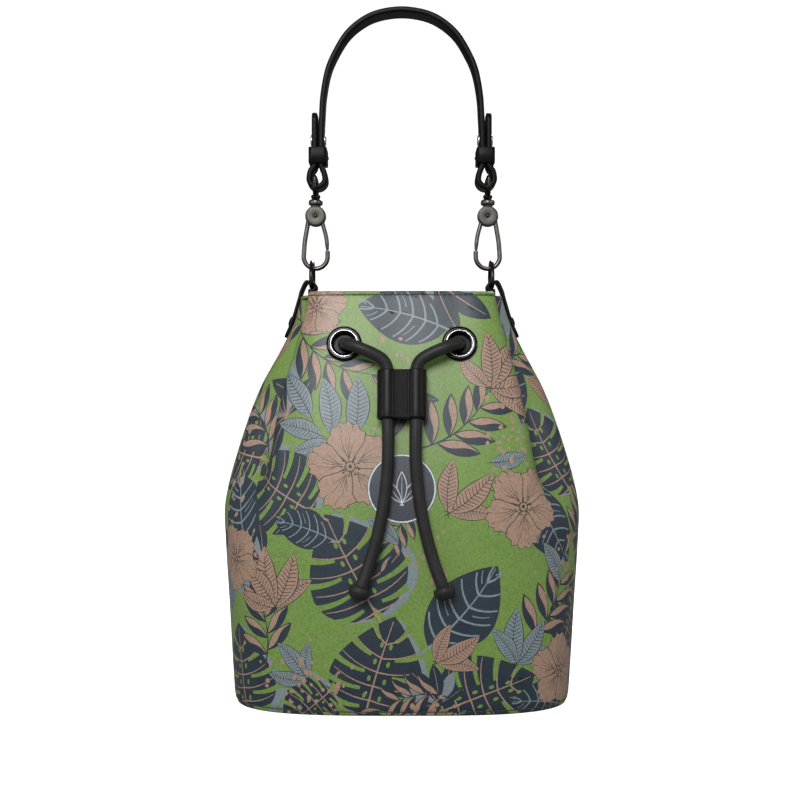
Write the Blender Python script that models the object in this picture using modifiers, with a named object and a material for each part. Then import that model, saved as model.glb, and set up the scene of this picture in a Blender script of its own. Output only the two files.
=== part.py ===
"""Drawstring bucket handbag: printed leather body, eyelets, cord with slider and knobs, and a strap handle on snap hooks.

Metres, +Z up. The origin is the middle of the base on the surface it stands on. The front faces -Y.
The handle swings about X, each hook swivels about Z and its gate opens about Y, and the slider runs along the cord.
"""
import math

import bmesh
import bpy
from mathutils import Matrix, Vector

# ---- driving dimensions (metres) ----------------------------------------------------------------
BAG_HEIGHT = 0.275            # base to rim
GAP = 0.0003                  # between pieces that touch
WALL = 0.0016                 # printed leather
LINING = 0.0008
FACING = 0.0012               # leather band inside the mouth
FACING_HEIGHT = 0.058
BASE = 0.0022
BOARD = 0.0018

# Half width, half depth, squareness and fold depth of the plan, each against height as a share of BAG_HEIGHT.
HALF_WIDTH = [(0, 0.1145), (0.1, 0.1163), (0.24, 0.1187), (0.4, 0.1215), (0.49, 0.1216),
              (0.62, 0.1125), (0.76, 0.0990), (0.865, 0.0840), (0.93, 0.0755), (1, 0.0695)]
HALF_DEPTH = [(0, 0.076), (0.145, 0.0805), (0.4, 0.0835), (0.545, 0.0815), (0.727, 0.074),
              (0.873, 0.0665), (1, 0.059)]
SQUARENESS = [(0, 3.2), (0.4, 3.0), (0.545, 3.3), (0.655, 4.0), (0.836, 5.2), (1, 7.0)]
FOLD = [(0, 0), (0.42, 0), (0.49, 0.04), (0.56, 0.12), (0.655, 0.17), (0.836, 0.19), (1, 0.17)]
FOLD_ANGLE = 28               # degrees from the side seam to the fold's valley
FOLD_SPREAD = 9

EYELET_X = 0.0375
EYELET_HEIGHT = 0.240
EYELET_BORE = 0.0068          # radius
EYELET_FLANGE = 0.0108        # radius
EYELET_SHELL = 0.0008
EYELET_BEAD = 0.0016          # flange thickness

CORD = 0.008                  # diameter
TAIL_BOTTOM = 0.086           # height at which the cord's tails meet their end knobs
SLIDER_LENGTH = 0.0315
SLIDER_TUBE_X = 0.0092        # each tube's centre from the middle
SLIDER_WALL = 0.0022
SLIDER_CLEAR = 0.0005

STRAP_WIDTH = 0.0185
STRAP = 0.0039                # thickness
LEG_X = 0.0560                # inner leg's centre at the keeper
LEG_PITCH = 0.0046            # from the inner leg to the folded-back outer leg
KEEPER_LOW = 0.3678
KEEPER_HEIGHT = 0.0110
KEEPER_WALL = 0.0018
SCREW_Z = 0.3850
SCREW_SHANK = 0.0019          # radius
LOOP_Z = 0.3572               # centre of the loop's round end
LOOP_R = 0.0055               # radius of the loop's centreline

RIG_X = 0.0602                # hook and eye axis
WIRE = 0.0033                 # hook wire diameter
HOOK_HALF = 0.00835           # hook wire's centreline from its axis
HOOK_BOTTOM = 0.2954          # centre of the wire at the hook's lowest point
NOSE = 0.00385                # the hook's open end above the centre of its round
HUB_Z = 0.3320
HUB_R = 0.0073
HUB_THICK = 0.0054
SLOT = 0.0034
TONGUE = 0.0015
PIN_R = 0.0010
STUD_R = 0.0013
COLLAR_R = 0.0050
COLLAR_TOP = 0.3436
EYE_WIRE = 0.0030
EYE_BAR_Z = 0.3579
RING_WIRE = 0.0030
RING_HALF = 0.0118            # ring wire's centreline from the middle, along Y
RING_X = 0.0626
RING_BAR_Z = 0.2822
RING_TOP_Z = 0.2999

TAB = 0.0019                  # thickness
TAB_WIDTH = 0.0180
TAB_LOW = 0.2470
TAB_RIVET_Z = 0.2575

COLOURS = {                   # base colour, roughness, metallic
    "printed_leather": ((0.20, 0.36, 0.08), 0.55, 0.0),
    "black_leather": ((0.018, 0.018, 0.019), 0.45, 0.0),
    "lining": ((0.03, 0.03, 0.032), 0.85, 0.0),
    "board": ((0.20, 0.15, 0.10), 0.9, 0.0),
    "gunmetal": ((0.20, 0.20, 0.19), 0.35, 1.0),
    "black_metal": ((0.03, 0.03, 0.032), 0.3, 1.0),
    "cord": ((0.015, 0.015, 0.016), 0.5, 0.0),
}


# ---- scene and materials ------------------------------------------------------------------------
for old in list(bpy.data.objects):
    bpy.data.objects.remove(old, do_unlink=True)

PARTS = bpy.data.collections.new("bucket_bag")
CUTTERS = bpy.data.collections.new("cutters")
bpy.context.scene.collection.children.link(PARTS)
bpy.context.scene.collection.children.link(CUTTERS)
CUTTERS.hide_render = True


def material(name, finish):
    colour, roughness, metallic = COLOURS[finish]
    made = bpy.data.materials.new(name)
    made.use_nodes = True
    shader = made.node_tree.nodes["Principled BSDF"]
    shader.inputs["Base Color"].default_value = (*colour, 1)
    shader.inputs["Roughness"].default_value = roughness
    shader.inputs["Metallic"].default_value = metallic
    return made


def add(name, data, finish, location=(0, 0, 0), parent=None):
    """A part of the bag, placed in world space and parented to its joint's empty."""
    part = bpy.data.objects.new(name, data)
    PARTS.objects.link(part)
    part.location = location
    data.materials.append(material(name, finish))
    if parent:
        part.parent = parent
        part.matrix_parent_inverse = parent.matrix_world.inverted()
    return part


def empty(name, location, parent=None):
    """Marks a joint's axis."""
    mark = bpy.data.objects.new(name, None)
    PARTS.objects.link(mark)
    mark.location = location
    if parent:
        mark.parent = parent
        mark.matrix_parent_inverse = parent.matrix_world.inverted()
    bpy.context.view_layer.update()
    return mark


# ---- makers -------------------------------------------------------------------------------------
def mesh_of(bm, name):
    data = bpy.data.meshes.new(name)
    bm.to_mesh(data)
    bm.free()
    data.shade_smooth()
    data.set_sharp_from_angle(angle=math.radians(40))
    return data


def placed(bm, axis, centre):
    """Turns what was made along +Z to lie along axis, with its origin at centre."""
    turn = Vector((0, 0, 1)).rotation_difference(Vector(axis)).to_matrix().to_4x4()
    bmesh.ops.transform(bm, matrix=Matrix.Translation(centre) @ turn, verts=bm.verts)
    return bm


def cylinder(radius, length, axis, centre, sides=20):
    bm = bmesh.new()
    bmesh.ops.create_cone(bm, cap_ends=True, segments=sides, radius1=radius, radius2=radius, depth=length)
    return placed(bm, axis, centre)


def block(size, centre):
    bm = bmesh.new()
    bmesh.ops.create_cube(bm, size=1)
    bmesh.ops.transform(bm, matrix=Matrix.Translation(centre) @ Matrix.Diagonal((*size, 1)), verts=bm.verts)
    return bm


def turned(profile, axis, centre, steps=20):
    """Spins a closed (radius, height) profile, listed anticlockwise, about its own axis."""
    bm = bmesh.new()
    ring = [bm.verts.new((radius, 0, height)) for radius, height in profile]
    edges = [bm.edges.new((ring[i], ring[(i + 1) % len(ring)])) for i in range(len(ring))]
    bmesh.ops.spin(bm, geom=ring + edges, cent=(0, 0, 0), axis=(0, 0, 1), dvec=(0, 0, 0),
                   angle=math.tau, steps=steps, use_merge=True)
    bmesh.ops.remove_doubles(bm, verts=bm.verts, dist=1e-6)
    bmesh.ops.recalc_face_normals(bm, faces=bm.faces)
    return placed(bm, axis, centre)


def smooth_through(points, pieces):
    """A Catmull-Rom curve through the points, with the given pieces between each two of them."""
    points = [Vector(p) for p in points]
    ends = [2 * points[0] - points[1], *points, 2 * points[-1] - points[-2]]
    out = []
    for a, b, c, d in zip(ends, ends[1:], ends[2:], ends[3:]):
        for step in range(pieces):
            t = step / pieces
            out.append(0.5 * (2 * b + (c - a) * t + (2 * a - 5 * b + 4 * c - d) * t * t
                              + (3 * b - a - 3 * c + d) * t ** 3))
    return out + [points[-1]]


def tube(points, diameter, closed=False, resolution=2):
    """A round wire along the points, as a curve."""
    data = bpy.data.curves.new("tube", "CURVE")
    data.dimensions = "3D"
    data.bevel_depth = diameter / 2
    data.bevel_resolution = resolution
    data.use_fill_caps = True
    spline = data.splines.new("POLY")
    spline.points.add(len(points) - 1)
    for knot, place in zip(spline.points, points):
        knot.co = (*place, 1)
    spline.use_cyclic_u = closed
    return data


def solid_of(curve):
    """The curve's solid as a bmesh, its caps welded."""
    holder = bpy.data.objects.new("holder", curve)
    bpy.context.scene.collection.objects.link(holder)
    bpy.context.view_layer.update()
    data = bpy.data.meshes.new_from_object(holder.evaluated_get(bpy.context.evaluated_depsgraph_get()))
    bpy.data.objects.remove(holder, do_unlink=True)
    bm = bmesh.new()
    bm.from_mesh(data)
    bmesh.ops.remove_doubles(bm, verts=bm.verts, dist=1e-6)
    bmesh.ops.recalc_face_normals(bm, faces=bm.faces)
    bpy.data.meshes.remove(data)
    return bm


def strip(path, thickness, width):
    """A flat strap of even thickness along an open path in XZ, as wide as width along Y."""
    left, right = [], []
    for i, here in enumerate(path):
        along = (path[min(i + 1, len(path) - 1)] - path[max(i - 1, 0)]).normalized()
        across = Vector((-along.z, 0, along.x)) * thickness / 2
        left.append(here + across)
        right.append(here - across)
    outline = left + right[::-1]
    data = bpy.data.curves.new("strip", "CURVE")
    data.dimensions = "2D"
    data.fill_mode = "BOTH"
    data.extrude = width / 2
    spline = data.splines.new("POLY")
    spline.points.add(len(outline) - 1)
    for knot, place in zip(spline.points, outline):
        knot.co = (place.x, place.z, 0, 1)
    spline.use_cyclic_u = True
    bm = solid_of(data)
    bmesh.ops.rotate(bm, verts=bm.verts, cent=(0, 0, 0), matrix=Matrix.Rotation(math.pi / 2, 3, "X"))
    return bm


def combine(part, other, operation):
    """Joins or cuts part with a helper solid, which stays in the cutters' collection."""
    helper = bpy.data.objects.new(part.name + "_" + operation.lower(), mesh_of(other, part.name + "_helper"))
    CUTTERS.objects.link(helper)
    helper.hide_render = True
    helper.display_type = "WIRE"
    step = part.modifiers.new(operation.title(), "BOOLEAN")
    step.operation = operation
    step.object = helper
    step.solver = "EXACT"


# ---- the bag's form -----------------------------------------------------------------------------
def value_at(table, share):
    """Reads a table of (share of height, value) with a smooth curve through its rows."""
    share = min(max(share, 0), 1)
    k = max(i for i in range(len(table) - 1) if table[i][0] <= share or i == 0)
    (u0, v0), (u1, v1) = table[k], table[k + 1]
    before = table[max(k - 1, 0)]
    after = table[min(k + 2, len(table) - 1)]
    slope0 = (v1 - before[1]) / (u1 - before[0])
    slope1 = (after[1] - v0) / (after[0] - u0)
    h = u1 - u0
    t = (share - u0) / h
    return ((2 * t ** 3 - 3 * t * t + 1) * v0 + (t ** 3 - 2 * t * t + t) * h * slope0
            + (3 * t * t - 2 * t ** 3) * v1 + (t ** 3 - t * t) * h * slope1)


def wall_point(height, angle, inset=0.0):
    """A point of the outer wall at an angle in degrees from +X, moved in by inset along the plan's normal."""
    if inset:
        along = wall_point(height, angle + 0.5) - wall_point(height, angle - 0.5)
        return wall_point(height, angle) - Vector((along.y, -along.x, 0)).normalized() * inset
    share = height / BAG_HEIGHT
    wide, deep = value_at(HALF_WIDTH, share), value_at(HALF_DEPTH, share)
    power = value_at(SQUARENESS, share)
    turn = math.radians(angle)
    reach = (abs(math.cos(turn) / wide) ** power + abs(math.sin(turn) / deep) ** power) ** (-1 / power)
    from_side = abs((angle + 90) % 180 - 90)
    reach *= 1 - max(value_at(FOLD, share), 0) * math.exp(-((from_side - FOLD_ANGLE) / FOLD_SPREAD) ** 2)
    return Vector((reach * math.cos(turn), reach * math.sin(turn), height))


def wall_at_x(height, x, inset=0.0):
    """The front wall's |y| where it passes x."""
    low, high = 30.0, 90.0
    for _ in range(40):
        angle = (low + high) / 2
        low, high = (angle, high) if wall_point(height, angle, inset).x > x else (low, angle)
    return wall_point(height, high, inset).y


LEVELS = [0, 0.07, 0.28, 0.44, 0.53, 0.62, 0.71, 1 - FACING_HEIGHT / BAG_HEIGHT, 0.86, 0.93, 1]
QUADRANT = [0, 9, 18, 24, 28, 33, 38, 44, 54, 72, 90]


def angles_between(start, end):
    """The plan's angles from start to end in degrees, closer together round the folds."""
    every = sorted({round(s * q + c, 3) for c, s in ((0, 1), (180, -1), (180, 1), (360, -1)) for q in QUADRANT})
    every = [a - 360 for a in every if a >= 180] + every
    return [a for a in sorted(set(every)) if start <= a <= end]


def loft(heights, angles, inset, closed, seam=0.0, floor=False):
    """An open sheet through the plan's rings, whose faces point out."""
    bm = bmesh.new()
    rows = []
    for height in heights:
        row = []
        for k, angle in enumerate(angles):
            place = wall_point(height, angle, inset)
            if seam and k in (0, len(angles) - 1):
                place.y += math.copysign(seam, math.sin(math.radians(sum(angles) / len(angles))))
            row.append(bm.verts.new(place))
        rows.append(row)
    for low, high in zip(rows, rows[1:]):
        for k in range(len(angles) - (not closed)):
            n = (k + 1) % len(angles)
            bm.faces.new((low[k], low[n], high[n], high[k]))
    if floor:
        bm.faces.new(rows[0][::-1])
    return bm


def thicken(part, thickness):
    """Gives a sheet its thickness on the inner side."""
    step = part.modifiers.new("Solidify", "SOLIDIFY")
    step.thickness = thickness
    step.offset = -1
    return part


def heights_from(low, high):
    return [low] + [s * BAG_HEIGHT for s in LEVELS if low + 0.004 < s * BAG_HEIGHT < high - 0.004] + [high]


INSIDE = WALL / math.cos(math.radians(34)) + GAP       # level inset of the lining and the facing


def body():
    """Panels, base, board, lining and facing."""
    for name, start, end in (("back_panel", 0, 180), ("front_panel", -180, 0)):
        sheet = loft(heights_from(0, BAG_HEIGHT), angles_between(start, end), 0, False, seam=GAP / 2)
        panels[name] = thicken(add(name, mesh_of(sheet, name), "printed_leather"), WALL)
    ring = angles_between(-180, 179.9)
    for name, low, thick, finish, inset in (
            ("base_panel", 0, BASE, "black_leather", INSIDE),
            ("base_board", BASE + GAP, BOARD, "board", INSIDE)):
        sheet = loft([low + thick, low], ring, inset, True)
        bmesh.ops.contextual_create(sheet, geom=[e for e in sheet.edges if e.is_boundary])
        bmesh.ops.recalc_face_normals(sheet, faces=sheet.faces)
        add(name, mesh_of(sheet, name), finish)
    lining_low = BASE + BOARD + 2 * GAP + LINING
    lining_top = BAG_HEIGHT - FACING_HEIGHT - GAP
    sheet = loft(heights_from(lining_low, lining_top), ring, INSIDE, True, floor=True)
    thicken(add("lining", mesh_of(sheet, "lining"), "lining"), -LINING).modifiers[0].offset = 1
    sheet = loft(heights_from(BAG_HEIGHT - FACING_HEIGHT, BAG_HEIGHT - 0.0006), ring, INSIDE, True)
    panels["mouth_facing"] = thicken(add("mouth_facing", mesh_of(sheet, "mouth_facing"), "black_leather"), FACING)


def eyelets():
    """Four two-part eyelets: a flanged tube from outside and a washer inside."""
    radius = EYELET_BORE + EYELET_SHELL
    for face, way in (("front", -1), ("back", 1)):
        for side, name in ((-1, "left"), (1, "right")):
            depth = wall_at_x(EYELET_HEIGHT, EYELET_X)
            centre = Vector((side * EYELET_X, way * depth, EYELET_HEIGHT))
            reach = EYELET_FLANGE * 0.8
            across = Vector((side * 2 * reach, way * (wall_at_x(EYELET_HEIGHT, EYELET_X + reach)
                                                      - wall_at_x(EYELET_HEIGHT, EYELET_X - reach)), 0))
            up = Vector((0, way * (wall_at_x(EYELET_HEIGHT + reach, EYELET_X)
                                   - wall_at_x(EYELET_HEIGHT - reach, EYELET_X)), 2 * reach))
            out = across.cross(up).normalized()
            out = out if out.y * way > 0 else -out
            proud, sunk = [], []
            for step in range(16):
                turn = math.tau * step / 16
                spot = centre + (across.normalized() * math.cos(turn) + up.normalized() * math.sin(turn)) * EYELET_FLANGE
                outer = Vector((spot.x, way * wall_at_x(spot.z, abs(spot.x)), spot.z))
                inner = Vector((spot.x, way * (wall_at_x(spot.z, abs(spot.x), INSIDE)), spot.z))
                proud.append((outer - centre).dot(out))
                sunk.append((inner - centre).dot(out) - FACING * 1.1)
            top = max(proud + [0]) + GAP
            foot = min(sunk) - GAP
            for wall in (face + "_panel", "mouth_facing"):
                combine(panels[wall], cylinder(radius + GAP, 0.024, out, centre), "DIFFERENCE")
            lip = foot - EYELET_SHELL - GAP
            shell = [(EYELET_BORE, top + EYELET_BEAD * 0.7), (EYELET_BORE, lip - 0.0005),
                     (radius + 0.0011, lip - 0.0005), (radius + 0.0011, lip), (radius, lip), (radius, top),
                     (EYELET_FLANGE, top), (EYELET_FLANGE, top + EYELET_BEAD * 0.4),
                     (EYELET_FLANGE - 0.0010, top + EYELET_BEAD), (EYELET_BORE + 0.0009, top + EYELET_BEAD)]
            add(f"eyelet_{face}_{name}", mesh_of(turned(shell, out, centre, 18), "eyelet"), "black_metal")
            disc = [(radius + GAP, lip + GAP), (EYELET_FLANGE - 0.0006, lip + GAP),
                    (EYELET_FLANGE - 0.0006, foot), (radius + GAP, foot)]
            add(f"eyelet_washer_{face}_{name}", mesh_of(turned(disc, out, centre, 18), "washer"), "black_metal")


# ---- the drawstring -----------------------------------------------------------------------------
# Right half's routes, chosen by hand; the left half is their mirror image.
TAIL_TOP = [(0.0375, -0.0610, 0.2402), (0.0372, -0.0690, 0.2401), (0.0335, -0.0757, 0.2394), (0.0262, -0.0784, 0.2365),
            (0.0182, -0.0784, 0.2330), (0.0120, -0.0781, 0.2290), (0.0094, -0.0782, 0.2236), (0.0092, -0.0792, 0.2160)]
TAIL_LOW = [(0.0092, -0.0825, 0.1980), (0.0090, -0.0839, 0.1900), (0.0087, -0.0855, 0.1790), (0.0088, -0.0864, 0.1660),
            (0.0098, -0.0870, 0.1510), (0.0114, -0.0876, 0.1380), (0.0140, -0.0881, 0.1240), (0.0174, -0.0887, 0.1100),
            (0.0215, -0.0898, 0.0970), (0.0256, -0.0912, TAIL_BOTTOM)]
INNER = [(0.0375, -0.0600, 0.2402), (0.0382, -0.0530, 0.2400), (0.0420, -0.0440, 0.2392), (0.0462, -0.0320, 0.2380),
         (0.0480, -0.0160, 0.2372), (0.0482, 0.0, 0.2370), (0.0480, 0.0160, 0.2372), (0.0462, 0.0320, 0.2380),
         (0.0420, 0.0440, 0.2392), (0.0382, 0.0530, 0.2400), (0.0371, 0.0640, 0.2401), (0.0340, 0.0740, 0.2395),
         (0.0262, 0.0785, 0.2380), (0.0130, 0.0798, 0.2372), (0.0, 0.0800, 0.2370)]


def mirrored(points, side):
    return [Vector((side * x, y, z)) for x, y, z in points]


def drawstring():
    """The inner run, the two tails, the slider on them and the knobs at their ends."""
    half = smooth_through(mirrored(INNER, 1), 2)
    whole = [Vector((-p.x, p.y, p.z)) for p in half] + half[::-1][1:]
    add("drawstring_inner", tube(whole, CORD), "cord")
    tilt = Vector(TAIL_LOW[0]) - Vector(TAIL_TOP[-1])
    tilt = Vector((0, tilt.y, tilt.z)).normalized()
    middle = (Vector(TAIL_TOP[-1]) + Vector(TAIL_LOW[0])) / 2
    middle.x = 0
    slide = empty("slider_slide", middle)
    for side, name in ((-1, "left"), (1, "right")):
        route = smooth_through(mirrored(TAIL_TOP + TAIL_LOW, side), 2)
        add(f"cord_tail_{name}", tube(route, CORD), "cord")
        along = (route[-1] - route[-3]).normalized()
        cap = [(0, -GAP), (0.0058, -GAP), (0.0070, -0.0022), (0.0071, -0.0042), (0.0058, -0.0070),
               (0.0035, -0.0086), (0, -0.0090)]
        bm = bmesh.new()
        ring = [bm.verts.new((r, 0, -h)) for r, h in cap]
        edges = [bm.edges.new(pair) for pair in zip(ring, ring[1:])]
        bmesh.ops.spin(bm, geom=ring + edges, cent=(0, 0, 0), axis=(0, 0, 1), angle=math.tau, steps=18,
                       use_merge=True)
        bmesh.ops.remove_doubles(bm, verts=bm.verts, dist=1e-6)
        bmesh.ops.recalc_face_normals(bm, faces=bm.faces)
        add(f"cord_knob_{name}", mesh_of(placed(bm, along, route[-1]), "knob"), "cord")
    outer = CORD / 2 + SLIDER_CLEAR + SLIDER_WALL
    slider = add("cord_slider", mesh_of(cylinder(outer, SLIDER_LENGTH, tilt, (SLIDER_TUBE_X, 0, 0), 24), "slider"),
                 "black_leather", location=middle, parent=slide)
    combine(slider, moved(cylinder(outer, SLIDER_LENGTH, tilt, (-SLIDER_TUBE_X, 0, 0), 24), middle), "UNION")
    web = block((2 * SLIDER_TUBE_X, 0.0062, SLIDER_LENGTH), (0, 0, 0))
    combine(slider, moved(placed(web, -tilt, (0, 0, 0)), middle), "UNION")
    for side in (-1, 1):
        bore = cylinder(CORD / 2 + SLIDER_CLEAR, 2 * SLIDER_LENGTH, tilt, (side * SLIDER_TUBE_X, 0, 0))
        combine(slider, moved(bore, middle), "DIFFERENCE")


def moved(bm, by):
    bmesh.ops.translate(bm, verts=bm.verts, vec=by)
    return bm


# ---- side tabs and rings ------------------------------------------------------------------------
def side_x(height, inset=0.0):
    """The wall's x at the side seam."""
    return wall_point(height, 0, inset).x


def tabs():
    """A leather tab folded round each ring's bar, riveted through the wall."""
    wrap = RING_WIRE / 2 + GAP + TAB / 2
    shell = INSIDE + FACING * 1.12 + GAP + TAB / 2
    sag = side_x(TAB_LOW) - wall_edge_x(TAB_LOW)
    for side, name in ((-1, "left"), (1, "right")):
        outside = [(side_x(z) + (GAP + TAB / 2) * 1.15, z) for z in (TAB_LOW, 0.2535, 0.261, 0.268, 0.2745)]
        over = [(side_x(BAG_HEIGHT) + 0.0004, BAG_HEIGHT + 0.0040), (RING_X + 0.0040, RING_BAR_Z + wrap + 0.0006)]
        round_bar = [(RING_X + wrap * math.cos(math.radians(a)), RING_BAR_Z + wrap * math.sin(math.radians(a)))
                     for a in range(75, 301, 25)]
        under = [(wall_edge_x(BAG_HEIGHT) - shell - 0.0003, BAG_HEIGHT + 0.0004)]
        inside = [(side_x(z, shell) - sag, z) for z in (0.2685, 0.261, 0.2535, TAB_LOW)]
        path = [Vector((side * x, 0, z)) for x, z in outside + over + round_bar + under + inside]
        tab = add(f"side_tab_{name}", mesh_of(strip(path, TAB, TAB_WIDTH), "tab"), "black_leather")
        slope = Vector((side_x(TAB_RIVET_Z - 0.004) - side_x(TAB_RIVET_Z + 0.004), 0, 0.008)).normalized()
        out = Vector((side * slope.z, 0, slope.x))
        centre = Vector((side * side_x(TAB_RIVET_Z), 0, TAB_RIVET_Z))
        reach = shell + sag + TAB / 2
        for wall in (tab, panels["front_panel"], panels["back_panel"], panels["mouth_facing"]):
            combine(wall, cylinder(0.0013 + GAP, 0.030, out, centre, 12), "DIFFERENCE")
        head = TAB + 2 * GAP + 0.0002
        cap = [(0, head), (0.0034, head), (0.0030, head + 0.0007), (0.0016, head + 0.0010), (0, head + 0.0010)]
        tail = -reach * math.cos(math.atan2(slope.x, slope.z)) - GAP
        post = [(0, tail - 0.0009), (0.0028, tail - 0.0009), (0.0032, tail), (0.0013, tail),
                (0.0013, head - GAP), (0, head - GAP)]
        add(f"tab_rivet_cap_{name}", mesh_of(turned_solid(cap, out, centre, 16), "cap"), "black_metal")
        add(f"tab_rivet_post_{name}", mesh_of(turned_solid(post, out, centre, 16), "post"), "black_metal")
        rings(side, name)


def wall_edge_x(height):
    """The side wall's smallest x under the width of a tab."""
    return min(wall_point(height, angle).x for angle in (0, 2, 4, 6, 8)
               if wall_point(height, angle).y <= TAB_WIDTH / 2)


def turned_solid(profile, axis, centre, steps=20):
    """Spins an open profile that starts and ends on the axis."""
    bm = bmesh.new()
    line = [bm.verts.new((r, 0, h)) for r, h in profile]
    edges = [bm.edges.new(pair) for pair in zip(line, line[1:])]
    bmesh.ops.spin(bm, geom=line + edges, cent=(0, 0, 0), axis=(0, 0, 1), angle=math.tau, steps=steps,
                   use_merge=True)
    bmesh.ops.remove_doubles(bm, verts=bm.verts, dist=1e-6)
    bmesh.ops.dissolve_degenerate(bm, dist=1e-7, edges=bm.edges)
    bmesh.ops.recalc_face_normals(bm, faces=bm.faces)
    return placed(bm, axis, centre)


def rings(side, name):
    """A D-ring: straight bar in the tab, and a half circle above it."""
    mark = empty(f"ring_hinge_{name}", (side * RING_X, 0, RING_BAR_Z))
    shoulder = RING_TOP_Z - RING_HALF
    path = [Vector((0, -RING_HALF + 0.0018, 0)), Vector((0, RING_HALF - 0.0018, 0)), Vector((0, RING_HALF, 0.0018))]
    path += [Vector((0, RING_HALF * math.cos(math.radians(a)), shoulder - RING_BAR_Z
                     + RING_HALF * math.sin(math.radians(a)))) for a in range(0, 181, 20)]
    path += [Vector((0, -RING_HALF, 0.0018))]
    add(f"d_ring_{name}", tube(path, RING_WIRE, closed=True), "gunmetal", location=mark.location, parent=mark)


# ---- the handle ---------------------------------------------------------------------------------
ARCH = [(0.0555, 0.4020), (0.0545, 0.4160), (0.0514, 0.4325), (0.0462, 0.4450), (0.0380, 0.4582),
        (0.0272, 0.4675), (0.0155, 0.4727), (0, 0.4748)]


def handle():
    """The strap with its looped ends, and the keeper, screws and swivel eye of each end."""
    axis = empty("handle_swing", (0, 0, HOOK_BOTTOM))
    loop_x = LEG_X + LEG_PITCH / 2 + 0.0005
    outer = LEG_X + LEG_PITCH
    lower = [(outer, KEEPER_LOW + 0.0360), (outer, KEEPER_LOW + KEEPER_HEIGHT), (outer, KEEPER_LOW - 0.0008),
             (loop_x + LOOP_R * 0.82, LOOP_Z + 0.0055)]
    lower += [(loop_x + LOOP_R * math.cos(math.radians(a)), LOOP_Z + LOOP_R * math.sin(math.radians(a)))
              for a in range(0, -181, -30)]
    lower += [(loop_x - LOOP_R * 0.82, LOOP_Z + 0.0055), (LEG_X, KEEPER_LOW - 0.0008),
              (LEG_X, KEEPER_LOW + KEEPER_HEIGHT)]
    half = lower + [(x, z) for x, z in ARCH]
    path = [Vector((x, 0, z)) for x, z in half] + [Vector((-x, 0, z)) for x, z in half[::-1][1:]]
    strap = add("handle_strap", mesh_of(strip(path, STRAP, STRAP_WIDTH), "strap"), "black_leather", parent=axis)
    for side, name in ((-1, "left"), (1, "right")):
        middle = side * (LEG_X + LEG_PITCH / 2)
        stack = LEG_PITCH + STRAP
        combine(strap, cylinder(SCREW_SHANK + GAP, 0.03, (1, 0, 0), (middle, 0, SCREW_Z), 12), "DIFFERENCE")
        out = Vector((side, 0, 0))
        face = stack / 2 + GAP
        centre = Vector((middle, 0, SCREW_Z))
        post = [(0, face - GAP), (SCREW_SHANK, face - GAP), (SCREW_SHANK, -face), (0.0042, -face),
                (0.0038, -face - 0.0008), (0, -face - 0.0008)]
        cap = [(0, face), (0.0042, face), (0.0038, face + 0.0008), (0, face + 0.0008)]
        add(f"strap_post_{name}", mesh_of(turned_solid(post, out, centre, 16), "post"), "gunmetal", parent=axis)
        add(f"strap_screw_{name}", mesh_of(turned_solid(cap, out, centre, 16), "screw"), "gunmetal", parent=axis)
        keeper_at = (middle, 0, KEEPER_LOW + KEEPER_HEIGHT / 2)
        inner = (stack + 2 * GAP + 0.0002, STRAP_WIDTH + 2 * GAP, KEEPER_HEIGHT * 2)
        size = (inner[0] + 2 * KEEPER_WALL, inner[1] + 2 * KEEPER_WALL, KEEPER_HEIGHT)
        keeper = add(f"keeper_{name}", mesh_of(block(size, keeper_at), "keeper"), "black_leather", parent=axis)
        combine(keeper, block(inner, keeper_at), "DIFFERENCE")
        eye(side, name, axis)
        hook(side, name, axis)


def eye(side, name, axis):
    """The swivel eye: a wire frame through the strap's loop, and a headed stud down into the hook."""
    wide = STRAP_WIDTH / 2 + EYE_WIRE / 2 + 0.0010
    low = COLLAR_TOP + 0.0018
    loop_low = LOOP_Z - LOOP_R - STRAP / 2
    right = [(wide - 0.0020, EYE_BAR_Z), (wide, EYE_BAR_Z - 0.0018), (wide, loop_low - 0.0004),
             (wide - 0.0030, low + 0.0012), (wide - 0.0070, low)]
    path = [Vector((side * RIG_X, y, z)) for y, z in right] + [Vector((side * RIG_X, -y, z)) for y, z in right[::-1]]
    ring = add(f"swivel_eye_{name}", mesh_of(solid_of(tube(path, EYE_WIRE, closed=True)), "eye"), "gunmetal",
               parent=axis)
    head = HUB_Z + HUB_R - 0.0024
    stud = [(0, low), (0.0022, low), (0.0026, COLLAR_TOP + GAP), (STUD_R, COLLAR_TOP + GAP), (STUD_R, head),
            (0.0019, head), (0.0019, head - 0.0010), (0, head - 0.0010)]
    combine(ring, turned_solid(stud, (0, 0, 1), (side * RIG_X, 0, 0), 16), "UNION")


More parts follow.
